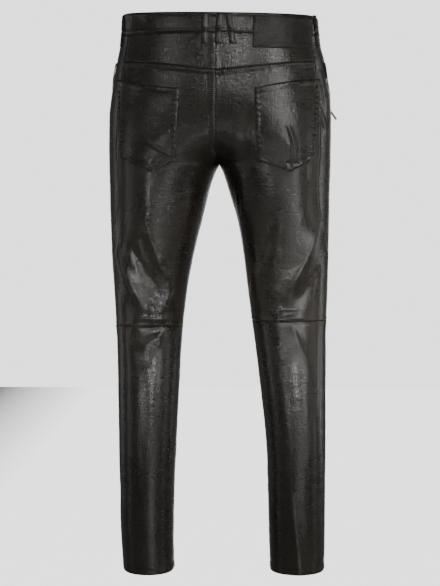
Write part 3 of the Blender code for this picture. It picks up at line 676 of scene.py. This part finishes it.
def dark_nickel():
    """Blackened plated metal, a little rubbed."""
    m = Nodes("dark nickel", (0.25, 0.24, 0.22), 0.32, 1.0)
    place = m.place()
    wear = m.noise(place, 420.0, 4.0, 0.6)
    m.link("Base Color", m.blend(wear, (0.022, 0.0205, 0.019), (0.085, 0.079, 0.073)))
    m.link("Roughness", m.spread(wear, 0.24, 0.44))
    m.link("Normal", m.bump(m.noise(place, 1800.0, 2.0), 0.00006, 0.5))
    return m.material


def waxed_thread():
    """Black twisted thread, dull beside the coat."""
    m = Nodes("topstitch thread", (0.016, 0.0135, 0.0105), 0.5)
    twist = m.noise(m.place(), 1500.0, 3.0)
    m.link("Base Color", m.blend(twist, (0.002, 0.0016, 0.0013), (0.0065, 0.005, 0.004)))
    m.link("Roughness", m.spread(twist, 0.55, 0.8))
    m.link("Specular IOR Level", 0.12)
    m.link("Normal", m.bump(twist, 0.0003, 0.7))
    return m.material


denim, leather, tape, steel = coated_denim(), patch_leather(), woven_tape(), dark_nickel()
thread = waxed_thread()

# ---- the legs' cloth
GRIDS = {}
PANEL_SEED = {LEFT: 10, RIGHT: 60}
PANELS = (  # name, face, top, bottom, cell, width, detail
    ("yoke", BACK, BAND_BOTTOM, YOKE_SEAM, 0.2, 21.5, yoke_detail),
    ("back", BACK, YOKE_SEAM, KNEE_SEAM, 0.18, 23.0, back_detail),
    ("calf_back", BACK, KNEE_SEAM, HEM, 0.24, 18.0, calf_detail),
    ("front", FRONT, BAND_BOTTOM, HEM, 0.34, 21.0, front_detail),
)
for side in (LEFT, RIGHT):
    for number, (kind, face, top, bottom, cell, width, detail) in enumerate(PANELS):
        grid = panel_grid(side, face, top, bottom, cell, width, PANEL_SEED[side] + number, detail)
        GRIDS[kind, side] = dress(f"{kind}_{SIDE_NAME[side]}", grid, denim)

# ---- waistband
BAND_DEPTH = 0.22
BAND_COLUMNS = 421
BAND_LEAN, HALF_WAIST = 0.22, 17.0  # its top hangs lower on the right and higher on the left


def waistband_grid():
    """One strip from the front opening round the back to the opening again, its turned edges sewn."""
    down = spaced(BAND_TOP - BAND_BOTTOM, 0.13)
    rows, around = BAND_TOP + (BAND_BOTTOM - BAND_TOP) * down, np.linspace(0.0, 1.0, BAND_COLUMNS)
    row, share_round = np.meshgrid(rows, around, indexing="ij")
    turn = 90 - 360 * share_round
    side = np.where(turn > -90, RIGHT, LEFT)
    angle = np.where(side == RIGHT, turn, -180 - turn)
    seam = form_size("side_seam", row)
    share = np.where(angle > seam, (90 - angle) / (90 - seam), 1.0)
    height = front_height(side, BAND_BOTTOM, share) + row - BAND_BOTTOM
    height[-1] += SEAM_GAP / 2
    point, normal = form_point(side, height, angle), form_normal(side, height, angle)
    lean = BAND_LEAN * point[..., 0] / HALF_WAIST
    point[..., 2] -= lean * (row - BAND_BOTTOM) / (BAND_TOP - BAND_BOTTOM)
    edges = edge_distances(point)
    top, bottom, first, _ = edges
    seed = 90
    rise = rolled(top, 0.11, 0.12) + rolled(bottom, 0.1, 0.12)
    rise += 0.05 * bump(top, 0.4, 0.22) - 0.03 * bump(top, BAND_TOP_ROW, 0.06)
    rise += 0.075 * bump(bottom, 0.42, 0.28) - 0.03 * bump(bottom, BAND_BOTTOM_ROW, 0.05)
    rise += 0.03 * noise(first / 1.3, row / 1.6, seed) * np.sin(np.pi * down)[:, None]
    rise += 0.016 * noise(first / 0.55, top / 1.5, seed + 1)
    rise += 0.016 * noise(first / 0.6, bottom / 1.5, seed + 2)
    rise += 0.02 * noise(first / 4.0, row / 3.0, seed + 3)
    return layered(point, normal, rise, -BAND_DEPTH, first, -height, edges)


GRIDS["waistband"] = dress("waistband", waistband_grid(), denim)

# ---- pieces sewn on top
ON_CLOTH = 0.06


def on_form(x, height, face=BACK):
    """Places on the creased cloth, seen straight on at x, with their normals."""
    side = np.where(x > 0, RIGHT, LEFT)
    o = lobe(side, height)
    reach = np.clip((np.abs(x) - o.middle) / o.half_width, -1.0, 1.0)
    angle = face * np.degrees(np.arccos(rounded(reach, 4 / o.corner)))
    point, normal = form_point(side, height, angle), form_normal(side, height, angle)
    return point + normal * crease_rise(point, normal, CREASES)[..., None], normal


def sewn_grid(corners, cell, face, thickness, detail, tip=0.0, tip_at=0.5, top_bow=0.0, length=None):
    """A piece on the cloth, from its corners: top inner, top outer, bottom outer, bottom inner."""
    corners = np.array(corners, dtype=float)
    width = np.linalg.norm(corners[0] - corners[1])
    tall = length or np.linalg.norm(corners[0] - corners[3])
    t, u = np.meshgrid(spaced(tall, cell), spaced(width, cell), indexing="ij")
    top = corners[0] + (corners[1] - corners[0]) * u[..., None]
    top[..., 1] += top_bow * 4 * u * (1 - u)
    bottom = corners[3] + (corners[2] - corners[3]) * u[..., None]
    peak = np.where(u < tip_at, u / tip_at, (1 - u) / (1 - tip_at))
    bottom[..., 1] -= tip * peak
    at = top + (bottom - top) * t[..., None]
    point, normal = on_form(at[..., 0], at[..., 1], face)
    edges = edge_distances(point)
    rise = detail(*edges, at[..., 0], at[..., 1])
    outer, inner = ON_CLOTH + thickness + rise, ON_CLOTH + 0.25 * np.minimum(rise, 0.0)
    return layered(point, normal, outer, inner, edges[2], -at[..., 1], edges)


POCKET_CORNERS = [(6.4, -11.2), (17.4, -9.5), (16.8, -22.9), (7.0, -23.5)]
POCKET_FOOT, POCKET_FOOT_WIDTH = 6.7, 10.4  # where the pointed edge starts, and how far it runs
POCKET_LENGTH = 14.5
POCKET_TIP = 2.3
POCKET_TIP_AT = {LEFT: 0.4, RIGHT: 0.58}
POCKET_BOW = {LEFT: -0.25, RIGHT: 0.22}
POCKET_SEED = {LEFT: 120, RIGHT: 130}
POCKET_CELL, POCKET_CLOTH = 0.14, 0.15


def pocket_detail(side):
    seed = POCKET_SEED[side]
    tip_x = side * (POCKET_FOOT + POCKET_FOOT_WIDTH * POCKET_TIP_AT[side])

    def detail(top, bottom, first, last, x, z):
        sides = np.minimum(first, last)
        sewn = np.minimum(sides, bottom)
        along = np.where(bottom < sides, x, z)
        rise = rolled(np.minimum(sewn, top), 0.13, 0.1) + 0.03 * bump(sewn, 0.45, 0.22)
        rise += stitched(sewn, along, POCKET_ROWS[0]) + stitched(sewn, along, POCKET_ROWS[1])
        rise += stitched(top, x, POCKET_HEM_ROW) + 0.04 * bump(top, 0.6, 0.5)
        rise += 0.1 * ease(1 - top / 2.2) * ease(sewn / 2.2) + 0.05 * bump(top, 0.55, 0.35)
        # drawn in along the stitches, ticks down the sides, crinkles at the tip and uneven all over
        drawn = 0.05 * noise(along / 0.55, sewn / 1.6, seed) * np.exp(-np.maximum(sewn - 0.5, 0.0) / 0.6)
        rise += drawn * ease(sewn / 0.15)
        step = 2 * np.pi * (z / 0.92 + 0.25 * noise(z / 2.0, x / 9.0, seed + 6))
        between = ease((bottom - 1.0) / 1.2) * ease((top - 1.4) / 0.6)
        rise += 0.06 * np.cos(step) * bump(sides, 0.48, 0.3) * between
        rise += 0.05 * ease(1 - (bottom - 0.6) / 2.2) * noise(x / 0.9 + z / 1.6, z / 0.65, seed + 1)
        close = np.exp(-(((x - tip_x) / 1.6) ** 2) - ((bottom - 1.0) / 1.0) ** 2)
        rise += 0.2 * close * noise(x / 0.85 - z / 0.9, z / 0.48, seed + 4)
        return rise + 0.03 * noise(x / 2.8, z / 2.2, seed + 2) + 0.012 * noise(x / 0.9, z / 0.8, seed + 3)

    return detail


for side in (LEFT, RIGHT):
    corners = [(side * x, z) for x, z in POCKET_CORNERS]
    shape = (POCKET_TIP, POCKET_TIP_AT[side], POCKET_BOW[side], POCKET_LENGTH)
    grid = sewn_grid(corners, POCKET_CELL, BACK, POCKET_CLOTH, pocket_detail(side), *shape)
    name = SIDE_NAME[side]
    GRIDS["pocket", side] = dress("back_pocket_" + name, grid, denim, "back_pocket_cloth_" + name)

PATCH_CORNERS = [(6.1, 1.25), (16.2, 1.25), (16.2, -4.35), (6.1, -4.35)]
PATCH_CELL, PATCH_LEATHER = 0.2, 0.14


def patch_detail(top, bottom, first, last, x, z):
    edge = np.minimum(np.minimum(first, last), np.minimum(top, bottom))
    rise = rolled(edge, 0.11, 0.09) - 0.03 * bump(edge, PATCH_ROW, 0.07)
    rise += 0.06 * bump(top, 0.62, 0.36) + 0.04 * bump(bottom, 0.6, 0.3)
    return rise + 0.035 * noise(x / 2.4, z / 1.5, 140) + 0.02 * noise(x / 0.9, z / 1.2, 141) * ease(1 - edge)


grid = sewn_grid(PATCH_CORNERS, PATCH_CELL, BACK, PATCH_LEATHER, patch_detail)
GRIDS["patch"] = dress("back_patch", grid, leather, "back_patch_leather")

LOOP_TOP, LOOP_BOTTOM, LOOP_WIDTH = 1.6, -3.75, 1.2
LOOP_CELL, LOOP_CLOTH = 0.12, 0.16
FRONT_LOOP_X, FRONT_LOOP_DROP = 8.2, 1.5
LOOPS = (  # name, x at the top and at the foot, width, face, how much lower it sits
    ("back_left", -2.1, -2.1, LOOP_WIDTH, BACK, 0.0),
    ("back_middle", 0.56, 0.22, 1.3, BACK, 0.0),
    ("back_right", 1.96, 2.75, LOOP_WIDTH, BACK, 0.0),
    ("front_left", -FRONT_LOOP_X, -FRONT_LOOP_X, LOOP_WIDTH, FRONT, FRONT_LOOP_DROP),
    ("front_right", FRONT_LOOP_X, FRONT_LOOP_X, LOOP_WIDTH, FRONT, FRONT_LOOP_DROP),
)


def loop_detail(top, bottom, first, last, x, z):
    """Loops stand a little off the band between the bars of stitching that hold them."""
    rise = rolled(np.minimum(first, last), 0.21, 0.25) + rolled(np.minimum(top, bottom), 0.08, 0.09)
    rise += 0.16 * ease(top / 0.9) * ease((bottom - 2.3) / 0.8)
    rise += 0.1 * ease(bottom / 0.5) * ease((2.6 - bottom) / 0.7) - 0.04 * bump(bottom, LOOP_LOW_BAR, 0.22)
    return rise + 0.012 * noise(x / 0.5, z / 0.8, 150)


for name, top_x, foot_x, width, face, drop in LOOPS:
    half, top, foot = width / 2, LOOP_TOP - drop, LOOP_BOTTOM - drop
    corners = [(top_x - half, top), (top_x + half, top), (foot_x + half, foot), (foot_x - half, foot)]
    grid = sewn_grid(corners, LOOP_CELL, face, LOOP_CLOTH, loop_detail)
    GRIDS["loop", name] = dress("belt_loop_" + name, grid, denim)


def strip_grid(side, top, bottom, top_angle, bottom_angle, width, rows, columns, lift, thickness, detail):
    """A strip down the side of the form, its middle line at an angle that may change on the way."""
    t, u = np.meshgrid(np.linspace(0, 1, rows), np.linspace(-1, 1, columns), indexing="ij")
    height = top + (bottom - top) * t
    angle = top_angle + (bottom_angle - top_angle) * t
    angle = angle + half_gap_angle(side, height, angle) * width / SEAM_GAP * u
    point, normal = form_point(side, height, angle), form_normal(side, height, angle)
    point = point + normal * crease_rise(point, normal, CREASES)[..., None]
    edges = edge_distances(point)
    rise = detail(*edges, u * width / 2, height)
    return layered(point, normal, lift + thickness + rise, lift, edges[2], -height, edges)


SIDE_LOOP_ANGLE = -16.0
SIDE_LOOP_CELLS, TAPE_CELLS = (46, 15), (84, 17)  # rows and columns
ZIP_TOP, ZIP_BOTTOM = -6.6, -17.0
ZIP_TOP_ANGLE, ZIP_BOTTOM_ANGLE = -9.0, 20.0
TAPE_WIDTH, TAPE_LIFT, TAPE_CLOTH = 1.3, 0.05, 0.11


def tape_detail(top, bottom, first, last, x, z):
    """Two cords of tape that meet under the teeth."""
    return rolled(np.minimum(first, last), 0.05, 0.08) - 0.03 * bump(x, 0.0, 0.1)


for side in (LEFT, RIGHT):
    name = SIDE_NAME[side]
    span = (LOOP_TOP, LOOP_BOTTOM, SIDE_LOOP_ANGLE, SIDE_LOOP_ANGLE, LOOP_WIDTH)
    grid = strip_grid(side, *span, *SIDE_LOOP_CELLS, ON_CLOTH, LOOP_CLOTH, loop_detail)
    GRIDS["loop", "side_" + name] = dress("belt_loop_side_" + name, grid, denim)
    span = (ZIP_TOP, ZIP_BOTTOM, ZIP_TOP_ANGLE, ZIP_BOTTOM_ANGLE, TAPE_WIDTH)
    grid = strip_grid(side, *span, *TAPE_CELLS, TAPE_LIFT, TAPE_CLOTH, tape_detail)
    GRIDS["tape", side] = dress("zip_tape_" + name, grid, tape)

FLY_WIDTH, FLY_LENGTH, FLY_CELL = 3.6, 11.5, 0.3
FLY_TOP = BAND_BOTTOM - FRONT_DROP - 0.4
FLY_OUTER, FLY_INNER = -0.24, -0.36  # its faces lie inside the fronts


def fly_grid():
    t, u = np.meshgrid(spaced(FLY_LENGTH, FLY_CELL), spaced(FLY_WIDTH, FLY_CELL), indexing="ij")
    point, normal = on_form(FLY_WIDTH / 2 - FLY_WIDTH * u, FLY_TOP - FLY_LENGTH * t, FRONT)
    edges = edge_distances(point)
    return layered(point, normal, FLY_OUTER, FLY_INNER, edges[2], FLY_LENGTH * t, edges)


GRIDS["fly"] = dress("fly_shield", fly_grid(), denim)

# ---- sewing
SEAT_STITCHES_END = 0.8  # above the fork
SEAT_PUFFS_AT, SEAT_PUFF = 0.57, (0.74, 0.058)  # a puff's length and half height
YOKE_PUFFS_AT, YOKE_PUFF = 0.4, (0.58, 0.066)
FLY_ROWS = (3.3, 3.75)
FLY_ROWS_TOP, FLY_ROWS_TURN = -4.0, -12.5

# Cross-sections of a stitch, a puff of cloth and a zip tooth: share of the length, of the width, and rise.
STITCH_RINGS = ((-0.5, 0.3, -0.9), (-0.28, 1.0, 0.15), (0.28, 1.0, 0.15), (0.5, 0.3, -0.9))
PUFF_RINGS = ((-0.5, 0.3, -0.7), (-0.3, 1.0, 0.0), (0.3, 1.0, 0.0), (0.5, 0.3, -0.7))
TOOTH_RINGS = ((-0.5, 0.85, 0.0), (-0.38, 1.0, 0.0), (0.38, 1.0, 0.0), (0.5, 0.85, 0.0))


def at_index(grid, i, j):
    """Places and normals at fractional rows and columns of a grid."""
    rows, columns = grid.outer.shape[:2]
    i, j = np.clip(i, 0, rows - 1.001), np.clip(j, 0, columns - 1.001)
    a, b = i.astype(int), j.astype(int)
    s, t = (i - a)[:, None], (j - b)[:, None]

    def blend(values):
        top = values[a, b] * (1 - t) + values[a, b + 1] * t
        low = values[a + 1, b] * (1 - t) + values[a + 1, b + 1] * t
        return top * (1 - s) + low * s

    return blend(grid.outer), unit(blend(grid.normal))


def parallel(grid, edge, distance, start=0.0, end=1.0):
    """A line over the cloth at a distance from one edge, over a share of the other way."""
    lengthwise = edge in ("first", "last")
    field = getattr(grid, edge) if lengthwise else getattr(grid, edge).T
    kept = np.arange(int(start * (len(field) - 1)), int(end * (len(field) - 1)) + 1)
    steps = np.arange(field.shape[1])
    order = -1 if edge in ("bottom", "last") else 1
    found = np.array([np.interp(distance, line[::order], steps[::order]) for line in field[kept]])
    kept = kept.astype(float)
    return at_index(grid, kept, found) if lengthwise else at_index(grid, found, kept)


def above_fork(line):
    keep = line[0][:, 2] > CROTCH + SEAT_STITCHES_END
    return line[0][keep], line[1][keep]


def seen_at(grid, path):
    """Places and normals where a grid is seen at (x, z) points."""

    def column_of(row, x):
        order = np.argsort(row)
        return np.interp(x, row[order], order)

    found = []
    rows = len(grid.outer)
    for x, z in path:
        i = rows / 2
        for _ in range(6):
            j = column_of(grid.outer[int(round(i)), :, 0], x)
            i = np.interp(-z, -grid.outer[:, int(round(j)), 2], np.arange(rows))
        over, under = grid.outer[int(i), :, 0], grid.outer[min(int(i) + 1, rows - 1), :, 0]
        found.append((i, column_of(over * (1 - i % 1) + under * (i % 1), x)))
    return at_index(grid, *np.array(found).T)


def resample(line, pitch, offset=0.5):
    """Even steps along a line: places, directions and normals."""
    places, normals = line
    travelled = np.concatenate([[0.0], np.cumsum(np.linalg.norm(np.diff(places, axis=0), axis=1))])
    count = max(int(travelled[-1] / pitch), 1)
    at = (np.arange(count) + offset) * travelled[-1] / count
    reach = 0.3 * pitch

    def sample(values, where):
        return np.stack([np.interp(where, travelled, values[:, k]) for k in range(3)], -1)

    along = unit(sample(places, at + reach) - sample(places, at - reach))
    return sample(places, at), along, unit(sample(normals, at))


def rods(name, batches, look, rings=STITCH_RINGS, sharp=80.0):
    """Short rods in one mesh. A batch is (places, directions, normals, length, half width, half height)."""
    all_verts, all_faces, start = [], [], 0
    share, wide, rise = np.array(rings).T[..., None, None]
    a, b = np.array([(1, 0), (0, 1), (-1, 0), (0, -1)]).T[..., None]
    one = [[3, 2, 1, 0], [12, 13, 14, 15]]
    for ring in (0, 4, 8):
        one += [[ring + k, ring + (k + 1) % 4, ring + 4 + (k + 1) % 4, ring + 4 + k] for k in range(4)]
    for places, along, normals, length, half_width, half_height in batches:
        across = unit(np.cross(normals, along))
        up = np.cross(along, across)
        places, along, across, up = (v[:, None, None] for v in (places, along, across, up))
        verts = places + along * (length * share) + across * (half_width * wide * a)
        all_verts.append((verts + up * (half_height * (rise + wide * b))).reshape(-1, 3))
        offsets = start + 16 * np.arange(len(places))
        all_faces.append((np.array(one) + offsets[:, None, None]).reshape(-1, 4))
        start += 16 * len(places)
    return add_mesh(name, np.concatenate(all_verts), np.concatenate(all_faces), None, look, sharp)


def row_of(line, pitch=PITCH, length=STITCH, thread=THREAD):
    places, along, normals = resample(line, pitch)
    return places, along, normals, length, thread, thread


def bar_on(grid, edge, distance):
    """A bartack: close threads laid across the middle of a narrow piece, near one of its ends."""
    places, normals = parallel(grid, edge, distance)
    middle, normal = places[len(places) // 2], normals[len(places) // 2]
    along = np.cross(unit(places[-1] - places[0]), normal)
    share = np.linspace(-0.5, 0.5, BAR_THREADS)[:, None]
    spots = middle + np.cross(normal, along) * BAR_WIDTH * share + normal * 0.02
    along, normals = np.repeat(along[None], BAR_THREADS, 0), np.repeat(normal[None], BAR_THREADS, 0)
    return spots, along, normals, BAR_THREAD_LENGTH, LOOP_THREAD, LOOP_THREAD


def puffs(line, length, half_height, seed):
    """Short swellings of the cloth across a seam, between one stitch and the next, no two quite alike."""
    places, along, normals = resample(line, PITCH)
    count = np.arange(len(places))
    shift = noise(count * 0.77, count * 0.31, seed)[:, None]
    across = np.cross(normals, along)
    places = places + along * (0.1 * PITCH * shift) + across * (0.06 * shift)
    return places, across, normals, length, PITCH / 2, half_height


def seam_puffs():
    """The puffs of the yoke seam and the seat seam."""
    line = above_fork(parallel(GRIDS["back", LEFT], "first", SEAT_PUFFS_AT))
    batches = [puffs(line, *SEAT_PUFF, 220)]
    for side in (LEFT, RIGHT):
        batches.append(puffs(parallel(GRIDS["back", side], "top", YOKE_PUFFS_AT), *YOKE_PUFF, 200 + side))
    return batches


def edge_rows(grid, edges, distances, start=0.0, end=1.0):
    return [row_of(parallel(grid, edge, far, start, end)) for far in distances for edge in edges]


def seat_rows():
    rows = edge_rows(GRIDS["yoke", LEFT], ["first"], SEAT_ROWS)
    rows += [row_of(above_fork(parallel(GRIDS["back", LEFT], "first", far))) for far in SEAT_ROWS]
    for side in (LEFT, RIGHT):
        rows += edge_rows(GRIDS["back", side], ["top"], YOKE_ROWS)
    return rows


def loop_rows(grid):
    bars = (("top", LOOP_BAR), ("bottom", LOOP_BAR), ("bottom", LOOP_LOW_BAR))
    rows = [row_of(parallel(grid, edge, LOOP_ROW), 0.28, 0.22, LOOP_THREAD) for edge in ("first", "last")]
    return rows + [bar_on(grid, edge, far) for edge, far in bars]


def waist_rows():
    rows = edge_rows(GRIDS["waistband"], ["top"], [BAND_TOP_ROW])
    rows += edge_rows(GRIDS["waistband"], ["bottom"], [BAND_BOTTOM_ROW])
    rows += edge_rows(GRIDS["patch"], ("top", "bottom", "first", "last"), [PATCH_ROW], 0.03, 0.97)
    for key, grid in GRIDS.items():
        if key[0] == "loop":
            rows += loop_rows(grid)
    return rows


def leg_rows():
    """The hems, and the two curved rows beside the fly."""
    rows = []
    for kind, side in product(("calf_back", "front"), (LEFT, RIGHT)):
        rows += edge_rows(GRIDS[kind, side], ["bottom"], [HEM_ROW])
    for out in FLY_ROWS:
        path = [(-out, z) for z in np.linspace(FLY_ROWS_TOP, FLY_ROWS_TURN, 18)]
        for turn in np.linspace(0.1, 1.45, 16):
            path.append((-out * math.cos(turn), FLY_ROWS_TURN - (out + 0.6) * math.sin(turn)))
        rows.append(row_of(seen_at(GRIDS["front", LEFT], path), 0.33))
    return rows


def pocket_rows():
    rows = []
    for side in (LEFT, RIGHT):
        grid = GRIDS["pocket", side]
        rows += edge_rows(grid, ("first", "last"), POCKET_ROWS, 0.02, 0.985)
        rows += edge_rows(grid, ["bottom"], POCKET_ROWS, 0.03, 0.97)
        rows += edge_rows(grid, ["top"], [POCKET_HEM_ROW], 0.01, 0.99)
    return rows


rods("seam_puffs", seam_puffs(), denim, PUFF_RINGS, 58.0)
for name, rows in (("seat", seat_rows), ("waist", waist_rows), ("legs", leg_rows), ("pockets", pocket_rows)):
    rods(name + "_topstitching", rows(), thread)

# ---- zips and button
TOOTH_PITCH, TOOTH_SHIFT = 0.125, 0.075  # teeth lie to one side and the other by turns
TOOTH_SIZE = (0.27, 0.052, 0.075)  # length, half width, half height


def zip_teeth(side):
    grid = GRIDS["tape", side]
    middle = grid.outer.shape[1] // 2
    line = grid.outer[:, middle] + grid.normal[:, middle] * 0.02, grid.normal[:, middle]
    places, along, normals = resample(line, TOOTH_PITCH)
    hand = np.where(np.arange(len(places)) % 2 == 0, 1.0, -1.0)[:, None]
    across = unit(np.cross(normals, along))
    return places + across * hand * TOOTH_SHIFT, across, normals, *TOOTH_SIZE


for side in (LEFT, RIGHT):
    rods("zip_teeth_" + SIDE_NAME[side], [zip_teeth(side)], steel, TOOTH_RINGS)
for node in ("zip_slider_left", "zip_slider_right", "pull_tab_left", "pull_tab_right", "waist_button"):
    bpy.data.objects[node].material_slots[0].material = steel

# ---- what each cloth piece was cut from


def cut_of(grid):
    """Width, length and area of a piece laid flat, in metres."""
    a = np.diff(grid.outer, axis=1)[:-1]
    b = np.diff(grid.outer, axis=0)[:, :-1]
    area = float(np.linalg.norm(np.cross(a, b), axis=2).sum()) * CM * CM
    width, length = float(grid.first[:, -1].max()) * CM, float(grid.top[-1].max()) * CM
    width, length = round(width, 3), round(length, 3)
    return (width, length), round(min(area, 0.99 * width * length), 5)


for piece, grid in SHEETS:
    flat, area = cut_of(grid)

# ---- camera
AZIMUTH, ELEVATION, DISTANCE = 2.5, 4.0, 3.5
AIM = Vector((0.0006, 0.0, -0.4703))
PICTURE_HEIGHT, METRES_PER_PIXEL = 586, 0.00178
TILT = 1.0024  # the picture shows this much more of an upright plane than of one square to the view
SENSOR = 36.0

turn, lift = math.radians(AZIMUTH), math.radians(ELEVATION)
towards = Vector((math.sin(turn) * math.cos(lift), -math.cos(turn) * math.cos(lift), math.sin(lift)))
camera = put("camera", bpy.data.cameras.new("camera"), AIM + towards * DISTANCE, -towards)
camera.data.sensor_width = SENSOR
camera.data.lens = SENSOR * DISTANCE * TILT / (PICTURE_HEIGHT * METRES_PER_PIXEL)
bpy.context.scene.camera = camera

# ---- light and floor
WHITE = (1.0, 1.0, 1.0, 1.0)
BACKDROP, ROOM = 2.2, 0.18
LIGHTS = (  # name, place, aim, size, watts, spread in degrees where it is narrow
    ("key", (1.55, -1.85, 0.02), (0, 0, -0.35), (0.35, 1.0), 18.0),
    ("high key", (1.5, -1.8, 1.05), (0, 0, -0.1), (0.6, 0.4), 16.0),
    ("low front", (0.95, -2.85, -1.85), (0, 0, -0.45), (1.2, 0.4), 11.0),
    ("left box", (-0.75, -1.95, -0.8), (-0.15, 0.0, -0.44), (0.8, 0.2), 0.38, 19.0),
    ("middle box", (0.46, -2.06, -0.42), (0.02, 0.0, -0.56), (0.4, 0.26), 0.24, 17.0),
    ("low key", (1.5, -1.72, -1.0), (0.15, 0.0, -0.44), (0.3, 0.26), 0.15, 16.0),
    ("left front", (-1.2, -1.8, 0.8), (0, 0, -0.25), (0.7, 0.6), 5.0),
    ("top box", (0.28, -2.05, 0.88), (0, 0, -0.04), (0.5, 0.25), 0.14, 15.0),
    ("left rear", (-1.55, 0.7, -0.35), (0, 0, -0.45), (0.3, 1.4), 3.0),
    ("left strip", (-1.7, -0.45, -0.45), (0, 0, -0.45), (0.1, 1.3), 3.0),
    ("right rear", (1.55, 0.7, -0.3), (0, 0, -0.4), (0.3, 1.4), 7.0),
    ("right strip", (1.7, -0.35, -0.45), (0, 0, -0.45), (0.1, 1.3), 4.0),
)


def studio_world():
    """A white backdrop beyond the garment and a dimmer room on the photographer's side, softly joined."""
    made = bpy.data.worlds.new("studio")
    made.use_nodes = True
    nodes, links = made.node_tree.nodes, made.node_tree.links
    kinds = ("TexCoord", "SeparateXYZ", "MapRange")
    place, parts, spread = (nodes.new("ShaderNode" + kind) for kind in kinds)
    spread.interpolation_type = "SMOOTHSTEP"
    links.new(place.outputs["Generated"], parts.inputs["Vector"])
    links.new(parts.outputs["Y"], spread.inputs["Value"])
    for socket, value in (("From Min", 0.93), ("From Max", 0.968), ("To Min", ROOM), ("To Max", BACKDROP)):
        spread.inputs[socket].default_value = value
    links.new(spread.outputs["Result"], nodes["Background"].inputs["Strength"])
    nodes["Background"].inputs["Color"].default_value = WHITE
    return made


def area_light(name, place, aim, size, energy, spread=180.0):
    data = bpy.data.lights.new(name, "AREA")
    data.shape = "RECTANGLE"
    data.size, data.size_y = size
    data.energy = energy
    data.spread = math.radians(spread)
    put(name, data, place, Vector(aim) - Vector(place))


FLOOR, FLOOR_HALF = -2.3, 14.0


def pale_floor():
    """A plain pale floor, lit up behind the garment, where the photo's ground is white."""
    sheet = bpy.data.meshes.new("floor")
    corners = [(x * FLOOR_HALF, y * FLOOR_HALF, FLOOR) for x, y in ((-1, -1), (1, -1), (1, 1), (-1, 1))]
    sheet.from_pydata(corners, [], [(0, 1, 2, 3)])
    pale = Nodes("pale floor", (0.8, 0.8, 0.8), 0.9)
    x, y = (pale.add("SeparateXYZ", axis, {"Vector": pale.place()}) for axis in "XY")
    behind = pale.spread(y, 0.0, 1.0, 2.0, 5.0)
    near = pale.spread(pale.math("ABSOLUTE", x), 1.0, 0.03, 1.7, 2.6)
    pale.link("Emission Strength", pale.math("MULTIPLY", pale.math("MULTIPLY", behind, near), BACKDROP))
    pale.link("Emission Color", WHITE)
    pale.link("Specular IOR Level", 0.0)
    sheet.materials.append(pale.material)
    return put("floor", sheet)


bpy.context.scene.world = studio_world()
for light in LIGHTS:
    area_light(*light)
pale_floor()
